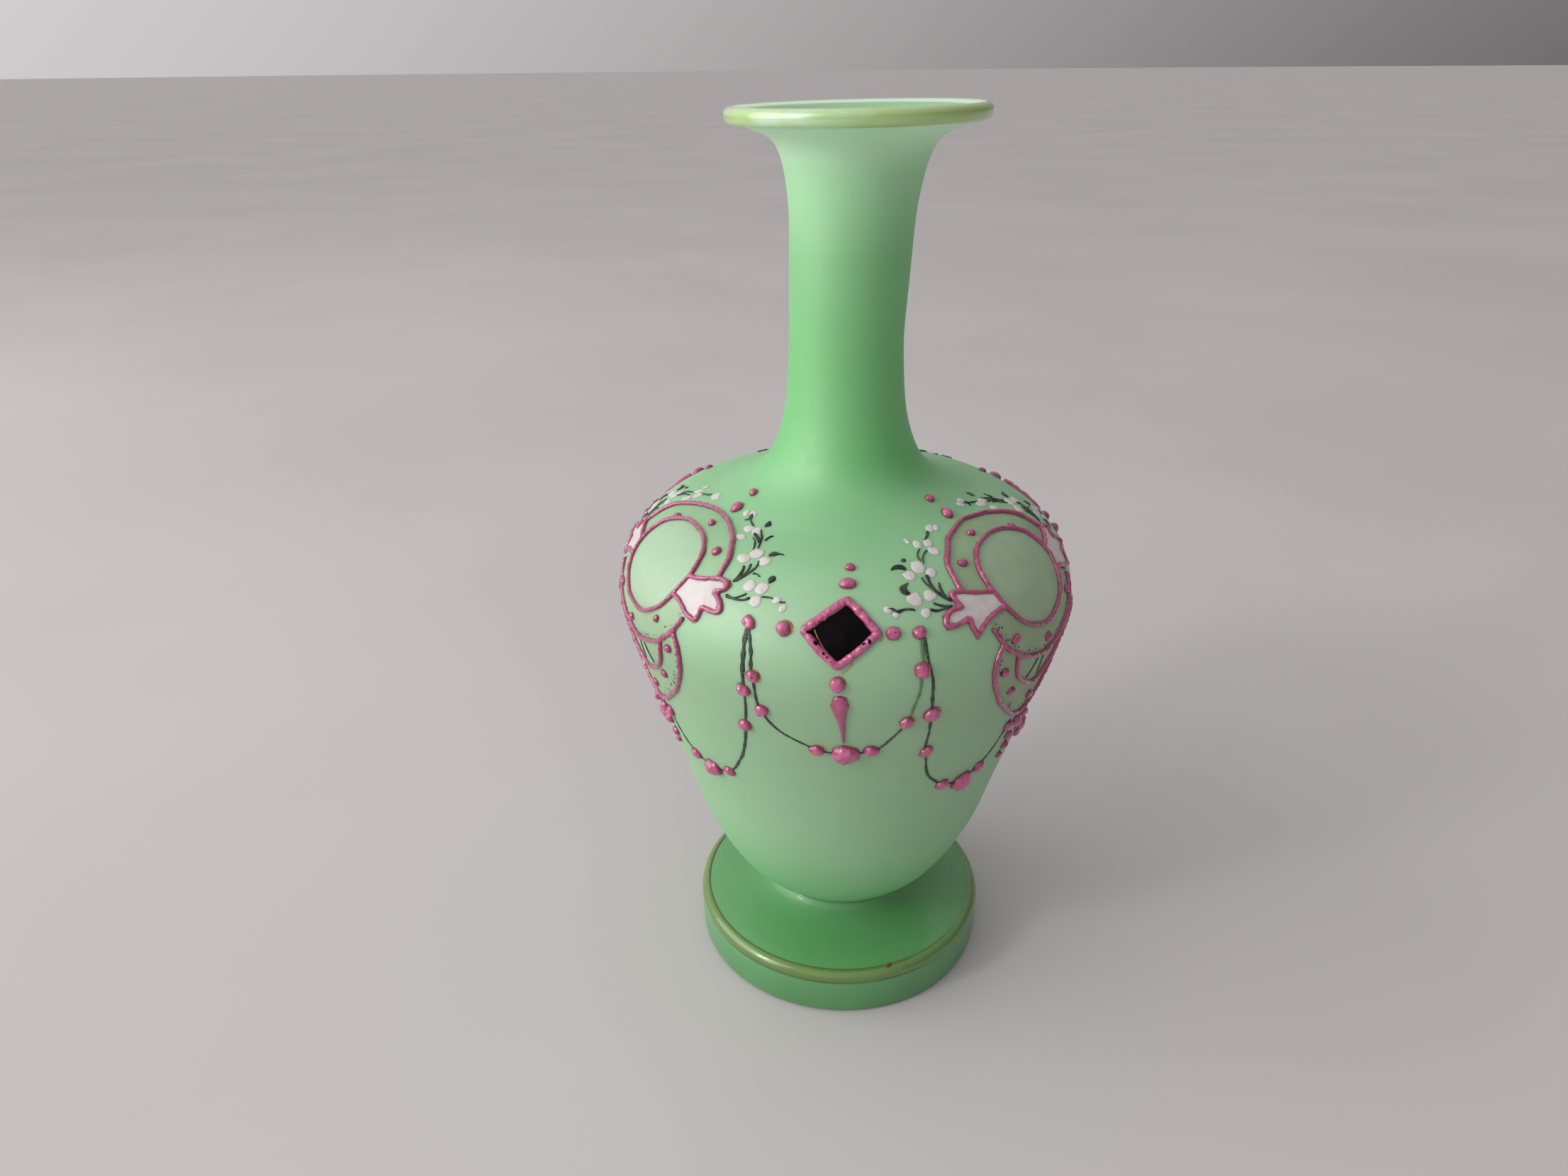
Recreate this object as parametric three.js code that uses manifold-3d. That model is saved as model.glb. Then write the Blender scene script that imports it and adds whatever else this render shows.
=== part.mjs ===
// A blown glass bud vase with an applied foot, gilded rims and raised enamel decoration.
// Millimetres, +Z up, origin at the middle of the foot's underside.
// Azimuths are degrees round the vase: 0 faces -Y, and they grow towards +X.
import * as THREE from 'three';
import Module from 'manifold-3d';
import { mergeVertices } from 'three/addons/utils/BufferGeometryUtils.js';
import { TessellateModifier } from 'three/addons/modifiers/TessellateModifier.js';

const wasm = await Module();
wasm.setup();

// ---- driving dimensions ----
const HEIGHT = 250;
const LIP_RADIUS = 32.15;
const GIRTH_RADIUS = 63.5;
const GIRTH_Z = 127.1;
const BORE_RADIUS = 11.5;
const WAIST_RADIUS = 23;
const WAIST_Z = 22.1;
const FOOT_RADIUS = 45.4;
const FOOT_RECESS = 1.5;
const JOINT_GAP = 0.3;
const BAND_THICKNESS = 0.35;
const TURNING_SEGMENTS = 32;

const ENAMEL_GAP = 0.3;
const LINE_WIDTH = 1.6;
const LINE_HEIGHT = 0.9;
const STONE_HEIGHT = 0.8;
const SHELL_HEIGHT = 0.5;
const STRAND_WIDTH = 0.9;
const STRAND_HEIGHT = 0.5;
const BEAD_SIDES = 6;
const LONGEST_EDGE = 6;
const MAX_SPLITS = 8;
const GRID_PER_MM = 256;
const MERGE_DISTANCE = 1e-4;

const DIAMOND_AZIMUTHS = [0, 117, -120.5];
const CARTOUCHE_AZIMUTHS = [55, 178, -59];

// ---- finishes ----
const OPALINE = { color: 0x9cc6a0, roughness: 0.45, metalness: 0 };
const FOOT_GLASS = { color: 0x5aa56a, roughness: 0.2, metalness: 0 };
const GILT = { color: 0x9db25e, roughness: 0.3, metalness: 0.4 };
const PINK = { color: 0xb4688c, roughness: 0.3, metalness: 0 };
const BLACK = { color: 0x0c0a0a, roughness: 0.12, metalness: 0 };
const WHITE = { color: 0xdedada, roughness: 0.5, metalness: 0 };

const vase = new THREE.Group();

function addPiece(name, geometry, finish) {
  const mesh = new THREE.Mesh(geometry, new THREE.MeshStandardMaterial(finish));
  mesh.name = name;
  vase.add(mesh);
}

const points = (pairs) => pairs.map(([x, y]) => new THREE.Vector2(x, y));
const smooth = (pairs, count) => new THREE.SplineCurve(points(pairs)).getPoints(count);

// ---- the outer wall, from the waist to the underside of the lip ----
const WALL = new THREE.SplineCurve(points([
  [WAIST_RADIUS, WAIST_Z + 0.6], [25.7, 25.7], [34.2, 34.9], [42.75, 51.65], [48.6, 71], [54.7, 91],
  [60.3, 110.9], [GIRTH_RADIUS, GIRTH_Z], [59.15, 139.5], [48.2, 148.5], [33.4, 153.3], [22.4, 159.8],
  [16.8, 172.4], [15, 190.5], [15.3, 209], [16.1, 227.9], [19.35, 240.6], [25.7, 244.6], [30.6, 245.8],
]));
const GIRTH_POINT = 7;
const WALL_DIVISIONS = 720;
WALL.arcLengthDivisions = WALL_DIVISIONS;
const WALL_LENGTH = WALL.getLength();
const WALL_POINT_COUNT = WALL.points.length;
const GIRTH_ARC = WALL.getLengths()[Math.round(WALL_DIVISIONS * GIRTH_POINT / (WALL_POINT_COUNT - 1))];

// A place on the wall at a height measured along it from the girth, with its outward direction.
function wallAt(arc) {
  const u = (GIRTH_ARC + arc) / WALL_LENGTH;
  const place = WALL.getPointAt(u);
  const along = WALL.getTangentAt(u);
  return { radius: place.x, z: place.y, outX: along.y, outZ: -along.x };
}

const wallStations = (from, to, count) => Array.from({ length: count + 1 }, (_, index) => {
  const place = wallAt(from + (to - from) * index / count);
  return new THREE.Vector2(place.radius, place.z);
});

// ---- turned glass ----
const LIP_EDGE = [[LIP_RADIUS - 1.2, 246.3], [LIP_RADIUS - 0.6, 246.6], [LIP_RADIUS - 0.5, 249]];
const FOOT_EDGE = [
  [FOOT_RADIUS - 0.1, 11.8], [FOOT_RADIUS - 0.5, 13.7], [FOOT_RADIUS - 2.6, 15.1],
];

const turn = (profile) => new THREE.LatheGeometry(profile, TURNING_SEGMENTS).rotateX(Math.PI / 2);

function glassBody() {
  const bottom = points([[0, WAIST_Z + JOINT_GAP], [WAIST_RADIUS, WAIST_Z + JOINT_GAP]]);
  const bulb = wallStations(-GIRTH_ARC, -12, 6);
  const shoulder = wallStations(-4, 56, 11);
  const neck = wallStations(68, WALL_LENGTH - GIRTH_ARC, 7);
  const lip = points([...LIP_EDGE.slice(1), [LIP_RADIUS - 1.6, HEIGHT], [27, 249.5]]);
  const mouth = points([
    [20, 247.6], [15, 242], [12.6, 232], [BORE_RADIUS, 210], [BORE_RADIUS, 190.5],
  ]);
  const inside = points([
    [13.3, 171], [19.3, 157.2], [31.8, 149.8], [45.8, 145.3], [55.6, 137.6], [60.1, 127],
    [57, 111.2], [45.1, 71.7], [38.6, 53], [29, 40], [15, 33], [0, 31.5],
  ]);
  return turn([...bottom, ...bulb, ...shoulder, ...neck, ...lip, ...mouth, ...inside]);
}

function glassFoot() {
  return turn(points([
    [0, FOOT_RECESS], [33, FOOT_RECESS], [35, 0], [FOOT_RADIUS - 1.6, 0], [FOOT_RADIUS, 1],
    ...FOOT_EDGE, [34.1, 17.2], [27.2, 19.2], [WAIST_RADIUS, WAIST_Z], [0, WAIST_Z],
  ]));
}

// A thin skin of gilding around a rim, drawn as an inner line and the same line moved outwards.
function giltBand(line) {
  const inner = offset(points(line), -JOINT_GAP, false);
  const outer = offset(points(line), -JOINT_GAP - BAND_THICKNESS, false);
  return turn([...outer, ...inner.reverse(), outer[0].clone()]);
}

// ---- flat drawing: x is mm around the vase, y is mm up the wall from the girth ----
const mirrored = (line) => line.map((place) => new THREE.Vector2(-place.x, place.y)).reverse();

// Moves a line sideways, to its left for a positive distance: inwards on an anticlockwise outline.
function offset(line, distance, closed = true) {
  const last = line.length - 1;
  return line.map((place, index) => {
    const before = line[index > 0 ? index - 1 : (closed ? last : 0)];
    const after = line[index < last ? index + 1 : (closed ? 0 : last)];
    const arriving = place.clone().sub(before);
    const leaving = after.clone().sub(place);
    if (arriving.lengthSq() === 0) arriving.copy(leaving);
    if (leaving.lengthSq() === 0) leaving.copy(arriving);
    const left = arriving.normalize().add(leaving.normalize()).normalize();
    const stretch = Math.max(0.5, left.dot(leaving));
    const reach = distance / stretch;
    return new THREE.Vector2(place.x - left.y * reach, place.y + left.x * reach);
  });
}

function plate(outline, height, holes = []) {
  const shape = new THREE.Shape(outline);
  shape.holes = holes.map((hole) => new THREE.Path(hole));
  return new THREE.ExtrudeGeometry(shape, { depth: height, bevelEnabled: false });
}

function bead(x, y, width, tall = width) {
  const dome = points([[0, 0], [1, 0], [0.78, 0.5], [0, 0.8]]);
  const geometry = new THREE.LatheGeometry(dome, BEAD_SIDES).rotateX(Math.PI / 2);
  return geometry.scale(width / 2, tall / 2, Math.min(width, tall) / 2).translate(x, y, 0);
}

function strand(pairs, steps) {
  const line = smooth(pairs, steps);
  const lower = offset(line, -STRAND_WIDTH / 2, false);
  const upper = offset(line, STRAND_WIDTH / 2, false);
  return plate([...lower, ...upper.reverse()], STRAND_HEIGHT);
}

function toSolid(geometry) {
  const bare = geometry.clone();
  bare.deleteAttribute('normal');
  bare.deleteAttribute('uv');
  const merged = mergeVertices(bare, MERGE_DISTANCE);
  const mesh = new wasm.Mesh({
    numProp: 3,
    vertProperties: new Float32Array(merged.attributes.position.array),
    triVerts: new Uint32Array(merged.index.array),
  });
  return new wasm.Manifold(mesh);
}

function fuse(geometries) {
  const solid = geometries.map(toSolid).reduce((sum, next) => sum.add(next));
  const { vertProperties, triVerts } = solid.getMesh();
  const fused = new THREE.BufferGeometry();
  fused.setAttribute('position', new THREE.BufferAttribute(vertProperties, 3));
  fused.setIndex(new THREE.BufferAttribute(triVerts, 1));
  return fused;
}

// Bends a flat piece round the wall: its drawing's x = 0 lands on the azimuth.
// Long edges are split first, so that its base follows the glass, on a grid that halves exactly.
function layOnWall(drawing, azimuth) {
  const bare = drawing.index ? drawing.toNonIndexed() : drawing;
  bare.deleteAttribute('normal');
  bare.deleteAttribute('uv');
  bare.attributes.position.array.forEach((value, index, all) => {
    all[index] = Math.round(value * GRID_PER_MM) / GRID_PER_MM;
  });
  const flat = new TessellateModifier(LONGEST_EDGE, MAX_SPLITS).modify(bare);
  const place = flat.attributes.position;
  for (let index = 0; index < place.count; index += 1) {
    const wall = wallAt(place.getY(index));
    const lift = place.getZ(index) + ENAMEL_GAP;
    const angle = THREE.MathUtils.degToRad(azimuth) + place.getX(index) / wall.radius;
    const radius = wall.radius + lift * wall.outX;
    place.setXYZ(index, radius * Math.sin(angle), -radius * Math.cos(angle), wall.z + lift * wall.outZ);
  }
  const laid = mergeVertices(flat, MERGE_DISTANCE);
  laid.computeVertexNormals();
  return laid;
}

// ---- diamonds ----
const DIAMOND_Y = 13;
const DIAMOND_HALF_WIDTH = 9.9;
const DIAMOND_HALF_HEIGHT = 9.4;
const FRAME_WIDTH = 2.7;
const FRAME_HEIGHT = 1.2;
const PENDANT = [
  [0.4, -19], [1.1, -12], [1.8, -6], [-0.4, -2.6], [-2.7, -6], [-1, -12], [0.2, -19],
];

function diamondOutline(inset) {
  const corners = points([
    [DIAMOND_HALF_WIDTH, DIAMOND_Y], [0, DIAMOND_Y + DIAMOND_HALF_HEIGHT],
    [-DIAMOND_HALF_WIDTH, DIAMOND_Y], [0, DIAMOND_Y - DIAMOND_HALF_HEIGHT],
  ]);
  const outline = corners.flatMap((corner, index) => {
    const next = corners[(index + 1) % corners.length];
    return [0, 1 / 3, 2 / 3].map((share) => corner.clone().lerp(next, share));
  });
  return offset(outline, inset);
}

function addDiamond(number, azimuth) {
  const name = (piece) => `diamond_${number}_${piece}`;
  const put = (piece, flat, finish) => addPiece(name(piece), layOnWall(flat, azimuth), finish);
  const frame = plate(diamondOutline(0), FRAME_HEIGHT, [diamondOutline(FRAME_WIDTH)]);
  put('frame', frame, PINK);
  put('stone', plate(diamondOutline(FRAME_WIDTH + JOINT_GAP), STONE_HEIGHT), BLACK);
  put('large_bead_above', bead(1, 25.3, 4, 3), PINK);
  put('small_bead_above', bead(1.6, 30.2, 2.7, 2.2), PINK);
  put('left_bead', bead(-14, 12.8, 3.6), PINK);
  put('right_bead', bead(11.9, 12.5, 3.6), PINK);
  put('bead_below', bead(-1.1, 0.3, 3.7, 4.2), PINK);
  const drop = smooth(PENDANT, 14);
  put('pendant', plate(drop.slice(0, -1), LINE_HEIGHT), PINK);
}

// ---- cartouches ----
const MEDALLION = { y: 18, halfWidth: 15.1, halfHeight: 13.7, top: 0.095, bottom: -0.365 };
const RING_TOP = smooth([
  [22.8, 21.5], [21.2, 25.5], [18.8, 29], [14.3, 33.2], [8.3, 37.2], [0, 39.3],
], 7);
const RING_BOTTOM = smooth([[0, -4.4], [5, -3.5], [10, -1.6], [13.4, 0.2]], 4);
const RING_SIDE = points([[13.4, 0.2], [18.3, 4.5]]);
const RING_FOOT = points([[18.3, 4.5], [20.8, 9.4]]);
const CRESCENT = smooth([
  [13.4, 0.2], [12.9, -3.5], [11.2, -7.2], [7.5, -10.8], [3.5, -13.3], [0, -14.5],
], 5);
const LOBE = smooth([
  [0, -25.2], [4.6, -23.6], [9, -20.2], [13.8, -15.6], [17.9, -10], [20.3, -5], [21, 0], [18.3, 4.5],
], 9);
const SHELL_TOP = points([[22.8, 21.5], [20, 19.9], [15, 19.3]]);
const SHELL_BOTTOM = points([[14.1, 13], [16.6, 12.5], [19.5, 10.6], [20.8, 9.4]]);
const SHELL_TIPS = points([
  [20.8, 9.4], [23.8, 9], [24.9, 12.8], [29, 12.8], [30.2, 14.6], [27, 17.6], [28, 20], [26, 22.2],
  [22.8, 21.5],
]);
const BEAD_ROW = [[-29, 4], [-34, 3.5], [-38.5, 3], [-42, 2.5]];

const medallionAt = (angle) => new THREE.Vector2(
  MEDALLION.halfWidth * Math.cos(angle), MEDALLION.y + MEDALLION.halfHeight * Math.sin(angle));
const medallionArc = (from, to, count) => Array.from({ length: count + 1 }, (_, index) => (
  medallionAt(from + (to - from) * index / count)));

// Joins lines end to end into one closed outline, dropping the point that each shares with the next.
const outlineOf = (...lines) => lines.flatMap((line) => line.slice(0, -1));

function cartoucheOutlines() {
  const topAngle = Math.asin(MEDALLION.top);
  const bottomAngle = Math.asin(MEDALLION.bottom);
  const overTop = medallionArc(Math.PI - topAngle, topAngle, 12);
  const side = medallionArc(topAngle, bottomAngle, 2);
  const underneath = medallionArc(bottomAngle, -Math.PI - bottomAngle, 12);
  const ringTop = [...RING_TOP, ...mirrored(RING_TOP).slice(1)];
  const ringBottom = [...mirrored(RING_BOTTOM), ...RING_BOTTOM.slice(1)];
  const crescent = [...CRESCENT, ...mirrored(CRESCENT).slice(1)];
  const lobe = [...mirrored(LOBE), ...LOBE.slice(1)];
  const shell = outlineOf(side, SHELL_BOTTOM, SHELL_TIPS, SHELL_TOP);
  const cells = {
    medallion: outlineOf(medallionArc(0, 2 * Math.PI, 24)),
    upperRing: outlineOf(overTop, [...SHELL_TOP].reverse(), ringTop, mirrored([...SHELL_TOP].reverse())),
    lowerRing: outlineOf([...underneath].reverse(), SHELL_BOTTOM, [...RING_FOOT].reverse(),
      [...RING_SIDE].reverse(), [...ringBottom].reverse(), mirrored(RING_SIDE).reverse(),
      mirrored(RING_FOOT).reverse(), mirrored(SHELL_BOTTOM)).reverse(),
    lobeBand: outlineOf(lobe, [...RING_SIDE].reverse(), crescent, mirrored(RING_SIDE).reverse()),
    lobeMiddle: outlineOf(ringBottom, crescent).reverse(),
    rightShell: shell,
    leftShell: mirrored(shell),
  };
  const whole = outlineOf(
    ringTop, mirrored(SHELL_TIPS), mirrored(RING_FOOT), lobe, RING_FOOT, SHELL_TIPS);
  return { cells, whole };
}

function addCartouche(number, azimuth) {
  const name = (piece) => `cartouche_${number}_${piece}`;
  const put = (piece, flat, finish) => addPiece(name(piece), layOnWall(flat, azimuth), finish);
  const { cells, whole } = cartoucheOutlines();
  const holes = Object.values(cells).map((cell) => offset(cell, LINE_WIDTH / 2));
  put('outline', plate(offset(whole, -LINE_WIDTH / 2), LINE_HEIGHT, holes), PINK);
  for (const side of ['left', 'right']) {
    const fill = offset(cells[`${side}Shell`], LINE_WIDTH / 2 + JOINT_GAP);
    put(`${side}_shell`, plate(fill, SHELL_HEIGHT), WHITE);
  }
  put('large_bead_above', bead(0, 43.5, 3.6, 3.8), PINK);
  put('small_bead_above', bead(0, 50, 3, 2.4), PINK);
  const row = BEAD_ROW.map(([y, width]) => bead(0, y, width));
  put('bead_row', fuse([strand([[0, -28], [0, -35], [0, -42]], 4), ...row]), PINK);
}

// ---- swags: a fine strand and the beads strung on it ----
function addSwag(name, azimuth, line, beads) {
  const pieces = [strand(line, 16), ...beads.map(([x, y, width, tall]) => bead(x, y, width, tall))];
  addPiece(name, layOnWall(fuse(pieces), azimuth), PINK);
}

const CENTRE_SWAG = {
  line: [
    [-22.4, 11.5], [-22, 0], [-20.2, -10.5], [-15, -18], [-6, -22.3], [1.1, -23], [8, -22],
    [15.6, -13], [18.8, 3], [18.6, 11.5],
  ],
  beads: [
    [-22.4, 12.9, 3.6], [-22, 0, 3.4], [-20.2, -10.5, 3.8], [-6.2, -22.3, 4.4, 3.4], [1.1, -23, 7, 5.2],
    [7.6, -22, 4.4, 3.4], [15.8, -13, 3.8], [18.9, 3, 4.2], [18.6, 12, 3.6],
  ],
};
// A side swag runs from beside a diamond to the foot of a cartouche. Its x is measured from the cartouche,
// and is drawn for diamonds and cartouches this many degrees apart: it stretches where they are further.
const RIGHT_SWAG = {
  side: 1,
  drawnApart: 59,
  line: [
    [40.5, -1.8], [40.3, -4.8], [39.2, -11], [37.1, -17.5], [34, -26], [29.3, -34], [24, -39.8],
    [17.3, -42], [10.6, -40.5], [5.6, -32.5], [3.9, -25.5],
  ],
  beads: [
    [40.3, -4.8, 4], [37.1, -17.5, 3.9], [24, -39.9, 3.8, 3.1], [17.3, -42, 6.6, 5.2],
    [10.7, -40.5, 4.2, 3.2], [4.4, -28.4, 3.2],
  ],
};
const LEFT_SWAG = {
  side: -1,
  drawnApart: 55,
  line: [
    [38.9, 1.5], [38, -4], [36.8, -11], [35.4, -18], [33.9, -25], [30, -34.5], [23.3, -41.2], [16.2, -43],
    [10.8, -40.3], [6.6, -34.5], [4.1, -26],
  ],
  beads: [
    [36.8, -11, 4.5], [33.9, -25, 3.5], [23.3, -41.2, 4, 3.5], [16.2, -43, 6.8, 5.8],
    [10.8, -40.3, 4.3, 3.4], [4.4, -28.4, 3.2],
  ],
};

// Degrees from an azimuth to the next diamond on one side of it.
function turnToDiamond(azimuth, side) {
  const turns = DIAMOND_AZIMUTHS.map((diamond) => ((diamond - azimuth) * side + 720) % 360);
  return Math.min(...turns);
}

function addSideSwag(name, azimuth, swag) {
  const stretch = swag.side * turnToDiamond(azimuth, swag.side) / swag.drawnApart;
  const stretched = (pairs) => pairs.map(([x, ...rest]) => [stretch * x, ...rest]);
  addSwag(name, azimuth, stretched(swag.line), stretched(swag.beads));
}

// ---- assembly ----
addPiece('glass_body', glassBody(), OPALINE);
addPiece('glass_foot', glassFoot(), FOOT_GLASS);
addPiece('lip_gilt_band', giltBand(LIP_EDGE), GILT);
addPiece('foot_gilt_band', giltBand(FOOT_EDGE), GILT);

DIAMOND_AZIMUTHS.forEach((azimuth, index) => {
  addDiamond(index + 1, azimuth);
  addSwag(`centre_swag_${index + 1}`, azimuth, CENTRE_SWAG.line, CENTRE_SWAG.beads);
});
CARTOUCHE_AZIMUTHS.forEach((azimuth, index) => {
  addCartouche(index + 1, azimuth);
  addSideSwag(`left_swag_${index + 1}`, azimuth, LEFT_SWAG);
  addSideSwag(`right_swag_${index + 1}`, azimuth, RIGHT_SWAG);
});

export default vase;
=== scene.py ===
import math

import bmesh
import bpy
import numpy as np
from mathutils import Matrix, Vector


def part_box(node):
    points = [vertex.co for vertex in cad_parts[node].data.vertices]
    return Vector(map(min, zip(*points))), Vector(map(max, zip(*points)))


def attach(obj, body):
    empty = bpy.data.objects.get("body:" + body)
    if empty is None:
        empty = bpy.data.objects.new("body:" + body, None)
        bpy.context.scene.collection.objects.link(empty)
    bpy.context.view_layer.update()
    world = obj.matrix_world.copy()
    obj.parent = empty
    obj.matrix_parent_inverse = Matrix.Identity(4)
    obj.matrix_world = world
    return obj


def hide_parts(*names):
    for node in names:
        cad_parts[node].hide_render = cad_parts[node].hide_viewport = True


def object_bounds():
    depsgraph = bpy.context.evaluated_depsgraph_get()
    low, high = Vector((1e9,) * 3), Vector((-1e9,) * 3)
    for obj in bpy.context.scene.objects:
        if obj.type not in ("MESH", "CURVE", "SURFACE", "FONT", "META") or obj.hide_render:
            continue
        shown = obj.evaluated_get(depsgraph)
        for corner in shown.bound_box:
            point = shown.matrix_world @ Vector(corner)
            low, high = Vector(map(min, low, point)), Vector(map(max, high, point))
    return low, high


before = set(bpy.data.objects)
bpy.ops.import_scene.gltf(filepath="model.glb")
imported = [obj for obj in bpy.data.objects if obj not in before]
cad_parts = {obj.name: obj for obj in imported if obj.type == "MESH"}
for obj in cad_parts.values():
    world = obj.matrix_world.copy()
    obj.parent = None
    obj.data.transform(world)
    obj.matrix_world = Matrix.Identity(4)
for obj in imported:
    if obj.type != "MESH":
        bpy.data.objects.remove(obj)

# ---- sizes ----
# The drawing below is in millimetres of a vase DRAWN_HEIGHT high, and is scaled to the frame.
CAD_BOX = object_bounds()
DRAWN_HEIGHT = 250.0
SCALE = (CAD_BOX[1].z - CAD_BOX[0].z) / DRAWN_HEIGHT
TOP = DRAWN_HEIGHT * SCALE
LIP_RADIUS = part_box("lip_gilt_band")[1].x / SCALE
WAIST_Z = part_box("glass_foot")[1].z / SCALE
GIRTH_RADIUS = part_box("glass_body")[1].x / SCALE

TURNING_SEGMENTS = 384
LINE_HEIGHT = 0.9
STRAND_HEIGHT = 0.2
PETAL_HEIGHT = 0.3
STROKE_HEIGHT = 0.36
# How far enamel reaches into the glass, and how far its drawing is moved down the wall.
SINK = 0.3
DRAWING_DROP = 0.5
# The cells in which overlapping lines are melted into one.
VOXEL = 0.22
# Corners closer than these are merged: metres in a finished piece, millimetres before a melt.
PIECE_MERGE = 1e-7
MELT_MERGE = 1e-5

DIAMOND_AZIMUTHS = [0, 117, -120.5]
CARTOUCHE_AZIMUTHS = [55, 178, -59]
# The olive wash in the cartouches' cells is a real tint on the glass, and its strength at each cartouche is
# painted shade: strongest at 55 degrees, on the side away from the window, and weakest at -59 degrees, on the
# window's side.
WASH_AND_SHADE_STRENGTHS = [1.4, 1.0, 0.6]


# ---- curves ----
def spline(points, count):
    """Points spread along a Catmull-Rom curve through the given ones."""
    p = np.array(points, float)
    last = len(p) - 1
    t = np.linspace(0, last, count)
    i = np.minimum(t.astype(int), last - 1)
    f = (t - i)[:, None]
    p0, p1, p2, p3 = p[np.maximum(i - 1, 0)], p[i], p[i + 1], p[np.minimum(i + 2, last)]
    v0, v1 = (p2 - p0) / 2, (p3 - p1) / 2
    cubic = 2 * p1 - 2 * p2 + v0 + v1
    square = -3 * p1 + 3 * p2 - 2 * v0 - v1
    return cubic * f**3 + square * f**2 + v0 * f + p1


def arc_lengths(line):
    return np.concatenate([[0], np.cumsum(np.linalg.norm(np.diff(line, axis=0), axis=1))])


def even(points, step):
    """The same curve, with a point every step millimetres or so."""
    fine = spline(points, 40 * len(points))
    along = arc_lengths(fine)
    places = np.linspace(0, along[-1], max(3, int(along[-1] / step) + 1))
    return np.stack([np.interp(places, along, fine[:, k]) for k in range(fine.shape[1])], -1)


def spread(values, count):
    """Numbers that run evenly through the given ones."""
    return np.interp(np.linspace(0, 1, count), np.linspace(0, 1, len(values)), values)


def lumps(points, size, seed):
    """Smooth irregularity from about -1 to 1, the same on each run."""
    rng = np.random.default_rng(seed)
    total = np.zeros(len(points))
    for _ in range(6):
        direction = rng.normal(size=points.shape[1])
        direction *= 2 * math.pi * rng.uniform(0.6, 1.5) / size / np.linalg.norm(direction)
        total += np.sin(points @ direction + rng.uniform(0, 2 * math.pi))
    return total / 3


# ---- the wall of the body, from the waist to the underside of the lip: (radius, height) ----
WALL_POINTS = [
    (23, 22.7), (25.7, 25.7), (34.2, 34.9), (42.75, 51.65), (48.6, 71), (54.7, 91),
    (60.3, 110.9), (GIRTH_RADIUS, 127.1), (59.15, 139.5), (48.2, 148.5), (33.4, 153.3), (22.4, 159.8),
    (16.8, 172.4), (15, 190.5), (15.3, 209), (16.1, 227.9), (19.35, 240.6), (25.7, 244.6), (30.6, 245.8),
]
GIRTH_INDEX = 7
WALL_SAMPLES_PER_SPAN = 250
WALL = spline(WALL_POINTS, WALL_SAMPLES_PER_SPAN * (len(WALL_POINTS) - 1) + 1)
WALL_ARC = arc_lengths(WALL)
WALL_ARC -= WALL_ARC[GIRTH_INDEX * WALL_SAMPLES_PER_SPAN]
WALL_ALONG = np.gradient(WALL, WALL_ARC, axis=0)
WALL_ALONG /= np.linalg.norm(WALL_ALONG, axis=1)[:, None]


def wall_radius(arc):
    return np.interp(arc, WALL_ARC, WALL[:, 0])


def wall_height(arc):
    return np.interp(arc, WALL_ARC, WALL[:, 1])


def across(degrees, arc):
    """Millimetres round the wall, at that height up it, that span an angle."""
    return np.radians(degrees) * wall_radius(arc)


def lay_on_wall(flat, azimuth):
    """Bends a flat drawing (x across, y up the wall from the girth, z off the glass) round the wall."""
    arc = flat[:, 1] - DRAWING_DROP
    outward, upward = [np.interp(arc, WALL_ARC, WALL_ALONG[:, k]) for k in (0, 1)]
    radius = wall_radius(arc) + flat[:, 2] * upward
    height = wall_height(arc) - flat[:, 2] * outward
    angle = math.radians(azimuth) + flat[:, 0] / wall_radius(arc)
    return np.stack([radius * np.sin(angle), -radius * np.cos(angle), height], -1)


# ---- hand blowing: the neck leans a little and the lip dips to one side ----
LEAN_HEIGHTS = [0, 125, 155, 195, 235, 250]
LEAN_SHIFTS = [0, 0, -0.42, -0.63, 0.67, 1.1]
LIP_DIP = math.tan(math.radians(0.75))
LIP_DIP_FROM = 225.0


def settle(points):
    moved = points.copy()
    moved[:, 0] += np.interp(points[:, 2], LEAN_HEIGHTS, LEAN_SHIFTS)
    share = np.clip((points[:, 2] - LIP_DIP_FROM) / (DRAWN_HEIGHT - LIP_DIP_FROM), 0, 1)
    moved[:, 2] += share * (points[:, 0] - LIP_RADIUS) * LIP_DIP
    return moved


# ---- meshes ----
def grid_faces(rows, columns, wrap_rows=False, wrap_columns=False):
    r = np.arange(rows if wrap_rows else rows - 1)[:, None]
    c = np.arange(columns if wrap_columns else columns - 1)[None, :]
    near, far = r * columns, (r + 1) % rows * columns
    right = (c + 1) % columns
    return np.stack([near + c, near + right, far + right, far + c], -1).reshape(-1, 4).tolist()


def new_mesh(name, points, faces):
    mesh = bpy.data.meshes.new(name)
    mesh.from_pydata(points.tolist(), [], faces)
    return mesh


def add_object(name, data):
    made = bpy.data.objects.new(name, data)
    bpy.context.scene.collection.objects.link(made)
    return made


def tidy_mesh(mesh, merge):
    tidy = bmesh.new()
    tidy.from_mesh(mesh)
    bmesh.ops.remove_doubles(tidy, verts=tidy.verts, dist=merge)
    bmesh.ops.recalc_face_normals(tidy, faces=tidy.faces)
    tidy.to_mesh(mesh)
    tidy.free()


def add_piece(name, points, faces, look, nodes=(), attributes=None):
    """A finished piece of the vase, from points in drawn millimetres."""
    mesh = new_mesh(name, settle(points) * SCALE, faces)
    for key, values in (attributes or {}).items():
        mesh.attributes.new(key, "FLOAT", "POINT").data.foreach_set("value", values)
    tidy_mesh(mesh, PIECE_MERGE)
    mesh.polygons.foreach_set("use_smooth", np.ones(len(mesh.polygons), bool))
    mesh.materials.append(look)
    piece = add_object(name, mesh)
    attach(piece, "root")
    if nodes:
        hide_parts(*nodes)


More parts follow.
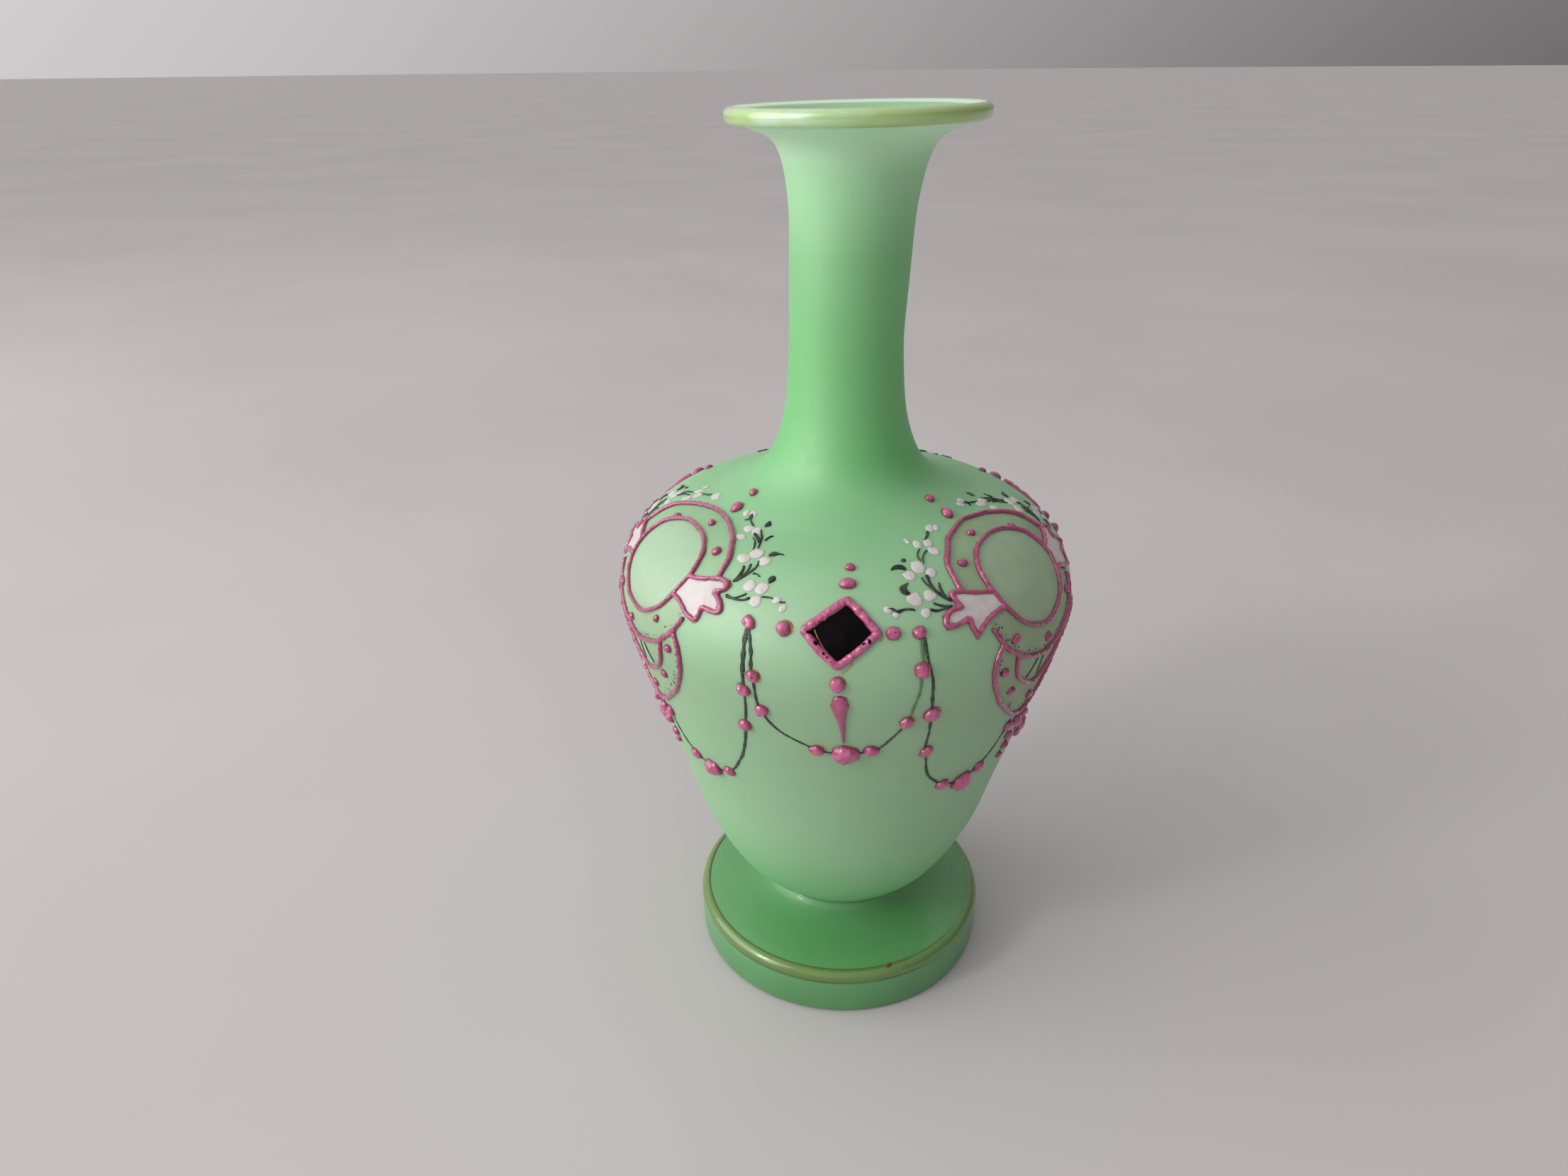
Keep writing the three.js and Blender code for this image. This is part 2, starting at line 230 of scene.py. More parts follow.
def joined(parts):
    """Several (points, faces) as one."""
    points, faces, offset = [], [], 0
    for part_points, part_faces in parts:
        points.append(part_points)
        faces += [[corner + offset for corner in face] for face in part_faces]
        offset += len(part_points)
    return np.concatenate(points), faces


def fused(parts, soften=5):
    """Melts overlapping closed parts into one skin."""
    points, faces = joined(parts)
    mesh = new_mesh("melt", points, faces)
    tidy_mesh(mesh, MELT_MERGE)
    melt = add_object("melt", mesh)
    remesh = melt.modifiers.new("remesh", "REMESH")
    remesh.mode = "VOXEL"
    remesh.voxel_size = VOXEL
    smooth = melt.modifiers.new("smooth", "SMOOTH")
    smooth.iterations = soften
    result = melt.evaluated_get(bpy.context.evaluated_depsgraph_get()).to_mesh()
    count = len(result.vertices)
    out = np.empty(count * 3)
    result.vertices.foreach_get("co", out)
    out_faces = [list(polygon.vertices) for polygon in result.polygons]
    bpy.data.objects.remove(melt)
    bpy.data.meshes.remove(mesh)
    return out.reshape(-1, 3), out_faces


# ---- enamel shapes, flat: x across, y up, z off the glass ----
DOME_STEPS = 9
BEAD_RINGS = 12
BEAD_COLUMNS = 32
BEAD_HEIGHT_SHARE = 0.42
# The sizes of the unevenness of a line's width and height, of a bead, of a hand's line and of a surface.
WIDTH_LUMPS, HEIGHT_LUMPS, BEAD_LUMPS, HAND_LUMPS, SURFACE_LUMPS = 3.5, 2.5, 2.2, 11, 1.3
# Enamel this high is as lumpy as it gets, and lower enamel less so.
FULLY_LUMPY_HEIGHT = 0.4


def ridge(line, width, height=LINE_HEIGHT, closed=False, seed=0, rough=0.12):
    """A raised rounded line of enamel along a flat curve, whose width wanders a little.

    A list of widths is spread evenly along the line.
    """
    count = len(line)
    if closed:
        along = np.roll(line, -1, axis=0) - np.roll(line, 1, axis=0)
    else:
        along = np.gradient(line, axis=0)
    along /= np.linalg.norm(along, axis=1)[:, None]
    side = np.stack([-along[:, 1], along[:, 0]], -1)
    wander = 1 + rough * lumps(line, WIDTH_LUMPS, seed)
    half = spread(np.atleast_1d(width), count) / 2 * wander
    top = height * (1 + rough * lumps(line, HEIGHT_LUMPS, seed + 1))
    if not closed:
        far = arc_lengths(line)
        end = np.minimum(far, far[-1] - far)
        rounding = np.sqrt(np.clip(1 - (1 - np.clip(end / half, 0, 1)) ** 2, 0.003, 1))
        half = half * rounding
        top = top * rounding
    turn = np.linspace(0, math.pi, DOME_STEPS)
    offsets = np.concatenate([[1], np.cos(turn), [-1]])
    lifts = np.concatenate([[0], np.sin(turn) ** 0.8, [0]])
    flat = line[:, None, :] - side[:, None, :] * (half[:, None] * offsets[None, :])[:, :, None]
    z = top[:, None] * lifts[None, :]
    z[:, 0] = z[:, -1] = -SINK
    columns = len(offsets)
    points = np.concatenate([flat, z[:, :, None]], -1).reshape(-1, 3)
    faces = grid_faces(count, columns, wrap_rows=closed, wrap_columns=True)
    if not closed:
        faces.append(list(range(columns)))
        faces.append(list(range((count - 1) * columns, count * columns))[::-1])
    return points, faces


def bead(x, y, width, tall=None, tilt=0.0, height=None, seed=0, rough=0.05):
    """A rounded drop of enamel, a little uneven, with its foot sunk in the glass."""
    tall = tall or width
    height = height or BEAD_HEIGHT_SHARE * min(width, tall)
    rows, columns = BEAD_RINGS + 2, BEAD_COLUMNS
    turn = np.linspace(0.02, math.pi / 2, BEAD_RINGS)
    angle = np.linspace(0, 2 * math.pi, columns, endpoint=False)
    reach = np.concatenate([np.sin(turn) ** 0.92, [1.0, 0.02]])
    lift = np.concatenate([np.cos(turn) * height, [-SINK, -SINK]])
    px = reach[:, None] * np.cos(angle)[None, :] * width / 2
    py = reach[:, None] * np.sin(angle)[None, :] * tall / 2
    pz = np.repeat(lift[:, None], columns, 1)
    points = np.stack([px, py, pz], -1).reshape(-1, 3)
    swell = 1 + rough * lumps(points + seed * 3.1, BEAD_LUMPS, seed)
    points[:, :2] *= swell[:, None]
    points[:, 2] = np.where(points[:, 2] > 0, points[:, 2] * swell, points[:, 2])
    cos, sin = math.cos(math.radians(tilt)), math.sin(math.radians(tilt))
    turned_x = points[:, 0] * cos - points[:, 1] * sin + x
    turned_y = points[:, 0] * sin + points[:, 1] * cos + y
    faces = grid_faces(rows, columns, wrap_columns=True)
    faces.append(list(range(columns))[::-1])
    faces.append(list(range((rows - 1) * columns, rows * columns)))
    return np.stack([turned_x, turned_y, points[:, 2]], -1), faces


def add_enamel(name, part, azimuth, look, slot, nodes=(), lump=0.0, seed=0, **attributes):
    """Lays a flat part on the wall, a little lumpy, and keeps its height off the glass for its material."""
    flat, faces = part
    flat = flat.copy()
    share = np.clip(flat[:, 2] / FULLY_LUMPY_HEIGHT, 0, 1)
    flat[:, 2] += lump * lumps(flat, SURFACE_LUMPS, seed) * share
    attributes["lift"] = flat[:, 2]
    add_piece(name, lay_on_wall(flat, azimuth), faces, look, nodes, attributes)


def add_fired(node, word, part, azimuth, look, slot, lump, seed):
    """Enamel that takes the place of one of the frame's nodes."""
    add_enamel(f"{node}fired_{word}", part, azimuth, look, slot, [node + word], lump, seed)


# ---- looks ----
def linear(shade):
    """Linear RGBA of a colour in 0-255 display values or of a (level,). A socket stays as it is."""
    if not isinstance(shade, tuple):
        return shade
    if len(shade) == 1:
        return (*shade * 3, 1.0)
    return (*[((c / 255 + 0.055) / 1.055) ** 2.4 if c > 10 else c / 255 / 12.92 for c in shade], 1.0)


def add_node(tree, kind, sockets, **settings):
    """A node whose inputs are linked to the sockets, and set to the plain values, that are given for them."""
    made = tree.nodes.new(kind)
    for key, value in settings.items():
        setattr(made, key, value)
    for key, value in sockets.items():
        if isinstance(value, bpy.types.NodeSocket):
            tree.links.new(value, made.inputs[key])
        else:
            made.inputs[key].default_value = value
    return made


def map_range(tree, value, low, high, to_low, to_high):
    """Value rescaled, and held within its ends."""
    ends = {"From Min": low, "From Max": high, "To Min": to_low, "To Max": to_high}
    return add_node(tree, "ShaderNodeMapRange", {"Value": value, **ends}).outputs["Result"]


class Look:
    """A Principled material, with short names for the nodes used here.

    Scales are per metre, and colours are 0-255 display values.
    """

    def __init__(self, name, **sockets):
        self.material = bpy.data.materials.new(name)
        self.material.use_nodes = True
        self.tree = self.material.node_tree
        self.shader = self.tree.nodes["Principled BSDF"]
        for key, value in sockets.items():
            self.shader.inputs[key.replace("_", " ")].default_value = value
        self.place = self.node("ShaderNodeTexCoord", {}).outputs["Object"]

    def node(self, kind, sockets, **settings):
        return add_node(self.tree, kind, sockets, **settings)

    def noise(self, scale, detail, roughness=0.5):
        inputs = {"Vector": self.place, "Scale": scale, "Detail": detail, "Roughness": roughness}
        return self.node("ShaderNodeTexNoise", inputs).outputs["Fac"]

    def streaks(self, round_scale, up_scale):
        """Noise drawn out round the vase: few changes along a rim, many across it."""
        stretch = {"Vector": self.place, "Scale": (round_scale, round_scale, up_scale)}
        stretched = self.node("ShaderNodeMapping", stretch).outputs["Vector"]
        inputs = {"Vector": stretched, "Scale": 1.0, "Detail": 4.0}
        return self.node("ShaderNodeTexNoise", inputs).outputs["Fac"]

    def spots(self, scale):
        return self.node("ShaderNodeTexVoronoi", {"Vector": self.place, "Scale": scale}).outputs["Distance"]

    def height(self):
        return self.node("ShaderNodeSeparateXYZ", {"Vector": self.place}).outputs["Z"]

    def attribute(self, name):
        return self.node("ShaderNodeAttribute", {}, attribute_name=name).outputs["Fac"]

    def span(self, value, low, high, to_low=0.0, to_high=1.0):
        return map_range(self.tree, value, low, high, to_low, to_high)

    def grain(self, scale, detail, *ends):
        """Noise, rescaled as by span."""
        return self.span(self.noise(scale, detail), *ends)

    def times(self, first, second):
        return self.node("ShaderNodeMath", {0: first, 1: second}, operation="MULTIPLY").outputs["Value"]

    def mix(self, share, first, second):
        """Two colours mixed. 6, 7 and 2 are where the node has its sockets for colours."""
        inputs = {"Factor": share, 6: linear(first), 7: linear(second)}
        return self.node("ShaderNodeMix", inputs, data_type="RGBA").outputs[2]

    def ramp(self, value, stops):
        """A colour that runs through (place, colour) stops as value goes from 0 to 1."""
        made = self.node("ShaderNodeValToRGB", {"Fac": value})
        elements = made.color_ramp.elements
        while len(elements) < len(stops):
            elements.new(0.5)
        for element, (place, colour) in zip(elements, stops):
            element.position = place
            element.color = linear(colour)
        return made.outputs["Color"]

    def colour(self, value):
        self.tree.links.new(value, self.shader.inputs["Base Color"])

    def rough(self, value):
        self.tree.links.new(value, self.shader.inputs["Roughness"])

    def bump(self, *layers):
        """Layers of (height value, depth in metres)."""
        below = {}
        for value, depth in layers:
            inputs = {"Strength": 1.0, "Distance": depth, "Height": value, **below}
            below = {"Normal": self.node("ShaderNodeBump", inputs).outputs["Normal"]}
        self.tree.links.new(below["Normal"], self.shader.inputs["Normal"])


def opaline_look():
    look = Look("satin_opaline", IOR=1.6, Specular_IOR_Level=1.0, Subsurface_Weight=0.5,
                Subsurface_Scale=0.004, Subsurface_Radius=(0.5, 1.0, 0.5))
    # Green by height: deeper at the waist and at the foot of the neck, and pale just under the lip. The pale
    # stops under the lip are partly the thinner glass there and partly painted light, standing for light
    # bounced up from the floor onto the lip's underside.
    by_height = look.ramp(look.span(look.height(), 0.0, TOP), [
        (0.09, (80, 168, 88)), (0.15, (112, 188, 119)), (0.26, (137, 190, 139)),
        (0.45, (142, 184, 141)), (0.56, (147, 194, 148)), (0.615, (125, 188, 131)),
        (0.66, (94, 186, 101)), (0.75, (92, 186, 98)), (0.86, (114, 190, 119)),
        (0.94, (162, 219, 166)), (0.975, (208, 244, 211)),
    ])
    cloudy = look.mix(look.grain(26.0, 2.0, 0.3, 0.7, 0.0, 0.16), by_height, (176, 208, 178))
    # The olive wash in the cartouches, with painted shade in it: the wash is made stronger on the cartouches
    # away from the window and weaker on the one towards it.
    wash_and_shade = look.times(look.attribute("wash_and_shade"), look.grain(180.0, 3.0, 0.3, 0.7, 0.25, 0.6))
    washed_and_shaded = look.mix(wash_and_shade, cloudy, (138, 152, 112))
    pale = look.mix(look.times(look.attribute("medallion"), 0.25), washed_and_shaded, (186, 206, 190))
    look.colour(look.mix(look.attribute("inside"), pale, (142, 188, 144)))
    look.rough(look.grain(340.0, 4.0, 0.3, 0.7, 0.5, 0.6))
    look.bump((look.noise(14.0, 1.0), 0.0005), (look.noise(5200.0, 2.0), 0.000016))
    return look.material


def foot_look():
    """Satin on the side of the foot, glossy on top and duller towards the crease of the waist."""
    look = Look("glossy_foot_glass", IOR=1.55, Coat_Weight=0.3, Coat_Roughness=0.06,
                Subsurface_Weight=0.5, Subsurface_Scale=0.005, Subsurface_Radius=(0.3, 1.0, 0.45))
    share = look.span(look.height(), 0.0, WAIST_Z * SCALE)
    by_height = look.ramp(share, [
        (0.0, (76, 138, 80)), (0.42, (88, 150, 94)), (0.54, (94, 158, 98)),
        (0.8, (86, 152, 90)), (1.0, (92, 158, 96)),
    ])
    look.colour(look.mix(look.grain(45.0, 2.0, 0.3, 0.7, 0.0, 0.3), by_height, (102, 164, 104)))
    look.rough(look.ramp(share, [(0.0, (0.42,)), (0.5, (0.36,)), (0.56, (0.13,)), (1.0, (0.5,))]))
    look.bump((look.noise(60.0, 2.0), 0.0003), (look.noise(1500.0, 3.0), 0.000008))
    return look.material


def gilding_look(name, stops, streak_colour, worn_colour):
    """Thin gilding over glass: stops run across the band, and streaks and worn patches run round it."""
    look = Look(name, Metallic=0.12, IOR=1.5, Coat_Weight=0.8, Coat_Roughness=0.05,
                Subsurface_Weight=0.35, Subsurface_Scale=0.004)
    band = look.ramp(look.attribute("across"), stops)
    streaks = look.streaks(30.0, 900.0)
    streaky = look.mix(look.span(streaks, 0.5, 0.64, 0.0, 0.45), band, streak_colour)
    patches = look.span(look.noise(38.0, 3.0, 0.6), 0.5, 0.62)
    worn = look.times(patches, look.span(streaks, 0.36, 0.56, 0.15, 0.9))
    look.colour(look.mix(worn, streaky, worn_colour))
    look.rough(look.span(streaks, 0.35, 0.65, 0.2, 0.34))
    look.bump((streaks, 0.00002), (look.noise(220.0, 3.0), 0.00004))
    return look.material


def pink_look():
    """Glossy, darker where it is thin, and pitted here and there."""
    look = Look("pink_enamel", IOR=1.52, Coat_Weight=1.0, Coat_Roughness=0.08,
                Subsurface_Weight=0.12, Subsurface_Scale=0.002)
    by_lift = look.ramp(look.span(look.attribute("lift"), -0.05, 1.2), [
        (0.0, (72, 16, 36)), (0.3, (144, 42, 88)), (0.7, (170, 64, 112)),
        (1.0, (194, 90, 138)),
    ])
    cloudy = look.mix(look.grain(420.0, 4.0, 0.4, 0.62, 0.0, 0.5), by_lift, (136, 42, 80))
    pits = look.times(look.span(look.spots(620.0), 0.1, 0.16, 1.0, 0.0), look.grain(150.0, 3.0, 0.55, 0.62))
    look.colour(look.mix(pits, cloudy, (64, 22, 30)))
    look.rough(look.grain(700.0, 3.0, 0.3, 0.7, 0.2, 0.38))
    look.bump((look.noise(520.0, 3.0), 0.00016), (look.span(look.spots(620.0), 0.06, 0.2), 0.00006))
    return look.material


def white_look():
    look = Look("white_enamel", IOR=1.5, Subsurface_Weight=0.2, Subsurface_Scale=0.002)
    thin = look.span(look.attribute("lift"), 0.0, 0.2)
    base = look.mix(thin, (176, 190, 172), (212, 206, 204))
    look.colour(look.mix(look.grain(330.0, 3.0, 0.42, 0.66, 0.0, 0.4), base, (188, 180, 172)))
    look.rough(look.grain(600.0, 3.0, 0.3, 0.7, 0.34, 0.52))
    look.bump((look.noise(600.0, 3.0), 0.00007))
    return look.material


def strand_look():
    """Grainy black-green paint, thin enough to show the glass where it is faded."""
    look = Look("green_strand_paint", IOR=1.5)
    dark = look.mix(look.grain(3600.0, 2.0, 0.52, 0.64), (22, 40, 26), (84, 116, 82))
    look.colour(look.mix(look.times(look.attribute("faded"), 0.75), dark, (96, 140, 96)))
    look.rough(look.grain(900.0, 3.0, 0.3, 0.7, 0.3, 0.5))
    look.bump((look.noise(1800.0, 3.0), 0.00006))
    return look.material


def mottled_look(name, mottle, colours, roughness, bump=None, **sockets):
    """Two colours mottled together. mottle and roughness are as for Look.grain."""
    look = Look(name, **sockets)
    look.colour(look.mix(look.grain(*mottle), *colours))
    look.rough(look.grain(*roughness))
    if bump:
        scale, detail, depth = bump
        look.bump((look.noise(scale, detail), depth))
    return look.material


OPALINE = opaline_look()
FOOT_GLASS = foot_look()
LIP_GILT = gilding_look("lip_gilding_finish", [
    (0.0, (206, 228, 200)), (0.12, (186, 212, 146)), (0.5, (178, 206, 132)),
    (0.8, (182, 208, 138)), (0.95, (198, 218, 162)), (1.0, (208, 226, 184)),
], (152, 182, 84), (202, 226, 196))
FOOT_GILT = gilding_look("foot_gilding_finish", [
    (0.0, (48, 62, 24)), (0.13, (54, 70, 28)), (0.22, (96, 130, 60)),
    (0.8, (100, 134, 64)), (0.94, (98, 120, 56)), (0.975, (114, 98, 50)),
    (1.0, (106, 90, 46)),
], (124, 148, 84), (96, 144, 80))
PINK = pink_look()
WHITE = white_look()
STRAND = strand_look()
BLACK = mottled_look(
    "black_enamel", (260.0, 4.0, 0.45, 0.7), ((4, 3, 4), (14, 11, 12)),
    (500.0, 4.0, 0.35, 0.7, 0.1, 0.3), (300.0, 2.0, 0.00006), IOR=1.4, Specular_IOR_Level=0.1)
LEAF = mottled_look(
    "black_green_paint", (420.0, 3.0, 0.4, 0.68), ((16, 22, 16), (62, 92, 62)),
    (700.0, 3.0, 0.3, 0.7, 0.28, 0.45), (900.0, 3.0, 0.00005), IOR=1.5)
GOLD_LINE = mottled_look(
    "worn_gold_line", (500.0, 3.0, 0.4, 0.6), ((140, 100, 56), (184, 152, 100)),
    (900.0, 3.0, 0.3, 0.7, 0.28, 0.45), Metallic=0.35, IOR=1.5)
BROWN = mottled_look(
    "chip_brown", (1500.0, 3.0, 0.4, 0.6), ((116, 58, 32), (70, 40, 24)),
    (900.0, 3.0, 0.3, 0.7, 0.4, 0.6), IOR=1.5)
FLOOR = mottled_look(
    "pale_floor", (3.0, 3.0, 0.35, 0.65), ((190, 187, 187), (196, 193, 193)),
    (40.0, 3.0, 0.3, 0.7, 0.6, 0.7), Specular_IOR_Level=0.3)


# ---- turned glass ----
def turned(profile, closed=False):
    """Points and faces of a profile of (radius, height) turned round the axis."""
    angle = np.linspace(0, 2 * math.pi, TURNING_SEGMENTS, endpoint=False)
    radius, height = profile[:, 0][:, None], profile[:, 1][:, None]
    shape = [radius * np.sin(angle), -radius * np.cos(angle), np.repeat(height, len(angle), 1)]
    points = np.stack(shape, -1).reshape(-1, 3)
    return points, grid_faces(len(profile), TURNING_SEGMENTS, wrap_rows=closed, wrap_columns=True)


RIM = [(30.6, 245.8), (31.45, 246.4), (31.75, 247.5), (31.65, 248.6), (31.0, 249.35), (30.0, 249.65)]
MOUTH = [
    (30.0, 249.65), (27, 249.3), (23.5, 248.5), (20, 247.0), (16.6, 243.8), (14.2, 239), (12.6, 230),
    (11.7, 215), (11.5, 190.5),
]
INSIDE = [
    (11.5, 190.5), (13.3, 171), (19.3, 157.2), (31.8, 149.8), (45.8, 145.3), (55.6, 137.6), (60.1, 127),
    (57, 111.2), (51.2, 91.5), (45.1, 71.7), (38.6, 53), (29, 40), (15, 33), (0, 31.5),
]


# The part of the wall that carries washes, and a place along it that none of them reaches.
WASHED_ARCS = (-47, 54)
OUTSIDE_EVERY_CELL = 200.0


def wall_rows(low, high, step):
    arcs = np.linspace(low, high, int((high - low) / step) + 1)
    return np.stack([wall_radius(arcs), wall_height(arcs)], -1)


def inside_outline(x, y, outline):
    """Which of the flat points lie inside a closed outline."""
    found = np.zeros(len(x), bool)
    for (ax, ay), (bx, by) in zip(outline, np.roll(outline, -1, axis=0)):
        if ay != by:
            found ^= ((ay > y) != (by > y)) & (x < (bx - ax) * (y - ay) / (by - ay) + ax)
    return found


def wash_masks(rows_arc, washes):
    """How strong each wash is on the turned grid, from its cells and its strength at each cartouche."""
    angle = np.linspace(0, 2 * math.pi, TURNING_SEGMENTS, endpoint=False)
    arc = np.repeat(rows_arc[:, None], TURNING_SEGMENTS, 1).ravel()
    masks = {}
    for name, (cells, strengths) in washes.items():
        mask = np.zeros(len(arc))
        for azimuth, strength in zip(CARTOUCHE_AZIMUTHS, strengths):
            turn = (angle - math.radians(azimuth) + math.pi) % (2 * math.pi) - math.pi
            x = (turn[None, :] * wall_radius(rows_arc)[:, None]).ravel()
            for cell in cells:
                mask[inside_outline(x, arc, cell)] = strength
        masks[name] = mask
    return masks


def add_body(washes):
    low, high = WASHED_ARCS
    bottom = np.array([(0.0, WAIST_Z + 0.3), (12, WAIST_Z + 0.3), (22.6, WAIST_Z + 0.35)])
    bulb = wall_rows(WALL_ARC[0], low - 1, 3.0)
    middle = wall_rows(low, high, 1.05)
    neck = wall_rows(high + 2, WALL_ARC[-1] - 0.5, 2.4)
    mouth = even(MOUTH, 1.6)[1:]
    hollow = even(INSIDE, 3.6)[1:]
    profile = np.concatenate([bottom, bulb, middle, neck, even(RIM, 0.7), mouth, hollow])
    points, faces = turned(profile)
    arc = np.full(len(profile), OUTSIDE_EVERY_CELL)
    start = len(bottom) + len(bulb)
    arc[start:start + len(middle)] = np.linspace(low, high, len(middle))
    attributes = wash_masks(arc, washes)
    inside = np.zeros(len(profile))
    inside[2 - len(mouth) - len(hollow):] = 1
    attributes["inside"] = np.repeat(inside, TURNING_SEGMENTS)
    add_piece("opaline_body", points, faces, OPALINE, ["glass_body"], attributes)


FOOT_TOP = [
    (42.8, 15.15), (40.5, 15.75), (37.5, 16.4), (34.1, 17.15), (30.2, 18.15), (27.2, 19.2),
    (24.9, 20.3), (23.5, 21.4), (23.0, 22.15), (22.8, 22.6),
]
FOOT_ROLL = [(45.15, 11.6), (45.3, 12.3), (45.2, 13.2), (44.7, 14.2), (43.9, 14.85), (42.8, 15.15)]
FOOT_SIDE = [
    (43.8, 0.0), (44.7, 0.35), (45.2, 1.2), (45.35, 2.6), (45.4, 6.5), (45.35, 10.8), (45.15, 11.6),
]
FOOT_UNDER = [(0, 1.5), (18, 1.5), (33, 1.5), (34.2, 0.9), (35, 0.0), (39, 0.0), (43.8, 0.0)]


def add_foot():
    profile = np.concatenate([
        np.array(FOOT_UNDER), even(FOOT_SIDE, 0.6)[1:], even(FOOT_ROLL, 0.4)[1:], even(FOOT_TOP, 0.8)[1:],
        np.array([(0.0, WAIST_Z + 0.25)]),
    ])
    points, faces = turned(profile)
    add_piece("opaline_foot", points, faces, FOOT_GLASS, ["glass_foot"])


BAND_SINK = 0.15


def add_band(name, line, thickness, look, node):
    """A skin of gilding over a rim. Its across attribute runs from 0 at its first edge to 1 at its last."""
    line = even(line, 0.35)
    along = np.gradient(line, axis=0)
    along /= np.linalg.norm(along, axis=1)[:, None]
    share = np.linspace(0, 1, len(line))
    depth = thickness * np.clip(np.minimum(share, 1 - share) / 0.06, 0.15, 1)
    off = np.stack([along[:, 1], -along[:, 0]], -1)
    out = line + off * depth[:, None]
    back = line - off * BAND_SINK
    points, faces = turned(np.concatenate([out, back[::-1]]), closed=True)
    across_share = np.repeat(np.concatenate([share, share[::-1]]), TURNING_SEGMENTS)
    add_piece(name, points, faces, look, [node], {"across": across_share})


CHIP_AZIMUTH, CHIP_RADIUS, CHIP_HEIGHT = 21.0, 43.5, 15.3


def add_chip():
    """A small red-brown chip in the gilding at the front of the foot, lying on the slope of its shoulder."""
    flat, faces = bead(0, 0, 1.7, 1.1, 20, 0.3, seed=5, rough=0.3)
    angle = math.radians(CHIP_AZIMUTH)
    outward = np.array([math.sin(angle), -math.cos(angle), 0])
    sideways = np.array([math.cos(angle), math.sin(angle), 0])
    upward = np.array([0, 0, 1.0])
    slope = (upward - 2 * outward) / math.sqrt(5)
    away = (2 * upward + outward) / math.sqrt(5)
    place = CHIP_RADIUS * outward + CHIP_HEIGHT * upward
    points = place + flat[:, :1] * sideways + flat[:, 1:2] * slope + flat[:, 2:] * away
    add_piece("foot_chip", points, faces, BROWN)


# ---- cartouches ----
def mirrored(line):
    return [(-x, y) for x, y in reversed(line)]


def doubled(half):
    """Half of a line and its mirror image, joined at whichever end lies on the middle."""
    return half + mirrored(half)[1:] if half[-1][0] == 0 else mirrored(half) + half[1:]


def flip(line, side):
    return [(side * place[0], *place[1:]) for place in line]


MEDALLION_Y, MEDALLION_HALF_WIDTH, MEDALLION_HALF_HEIGHT = 18.0, 15.1, 13.7
RING_TOP = doubled([(22.8, 21.5), (21.2, 25.5), (18.8, 29), (14.3, 33.2), (8.3, 37.2), (0, 39.3)])
RING_TOP_END = (-23.3, 19.6)
RING_BOTTOM = doubled([(0, -4.4), (5, -3.5), (10, -1.6), (13.4, 0.2), (18.3, 4.5), (20.8, 9.4)])
CRESCENT = doubled([(13.4, 0.2), (12.9, -3.5), (11.2, -7.2), (7.5, -10.8), (3.5, -13.3), (0, -14.5)])
LOBE = doubled([
    (0, -25.2), (4.6, -23.6), (9, -20.2), (13.8, -15.6), (17.9, -10), (20.3, -5), (21, 0), (18.3, 4.5),
])
OUTLINE_LINES = [(RING_TOP + [RING_TOP_END], 1.35), (RING_BOTTOM, 1.5), (CRESCENT, 1.3), (LOBE, 1.5)]
SHELL_LINES = {
    1: [
        (14.6, 19.1), (17, 19.3), (20, 20), (22.6, 21.2), (25.2, 21.4), (27.2, 20.2), (27.2, 18.7),
        (24.8, 18), (26.4, 17.2), (28.3, 16), (29.7, 14.4), (30.1, 13.5), (28.6, 13), (26.4, 13.1),
        (24.7, 13.5), (25, 11.8), (25, 10.2), (24, 9.5), (22.6, 10.1), (21.2, 10.4), (19, 11.7),
        (16.5, 12.9), (13.9, 13.4),
    ],
    -1: [
        (14.4, 17.5), (17, 17.9), (20, 18.6), (23, 19.5), (25.4, 20.2), (26.3, 18.9), (26.1, 17.3),
        (25.5, 16.1), (27.2, 16.2), (29.2, 15.9), (31, 14.7), (32.2, 13), (32.1, 12.2), (30.6, 12.1),
        (28.6, 12.4), (26.8, 12.8), (25.4, 13.4), (25.9, 11.5), (25.7, 9.6), (25.2, 8.5), (24.3, 9.5),
        (22.5, 10.8), (19.5, 12.2), (16.5, 12.9), (14, 13.1),
    ],
}
SHELL_FILLS = {
    1: [
        (14.6, 13.2), (17, 12.7), (21.5, 10.3), (24.6, 10), (25, 13.3), (29.7, 13.6), (26.8, 17.2),
        (26.9, 19.8), (25, 21.2), (20, 19.9), (14.8, 19.1),
    ],
    -1: [
        (14.4, 13.1), (19.5, 12.2), (25, 9), (25.9, 12.8), (32, 12.4), (29.6, 15.6), (26, 17),
        (26, 18.9), (25.4, 20), (20, 18.6), (14.4, 17.5),
    ],
}
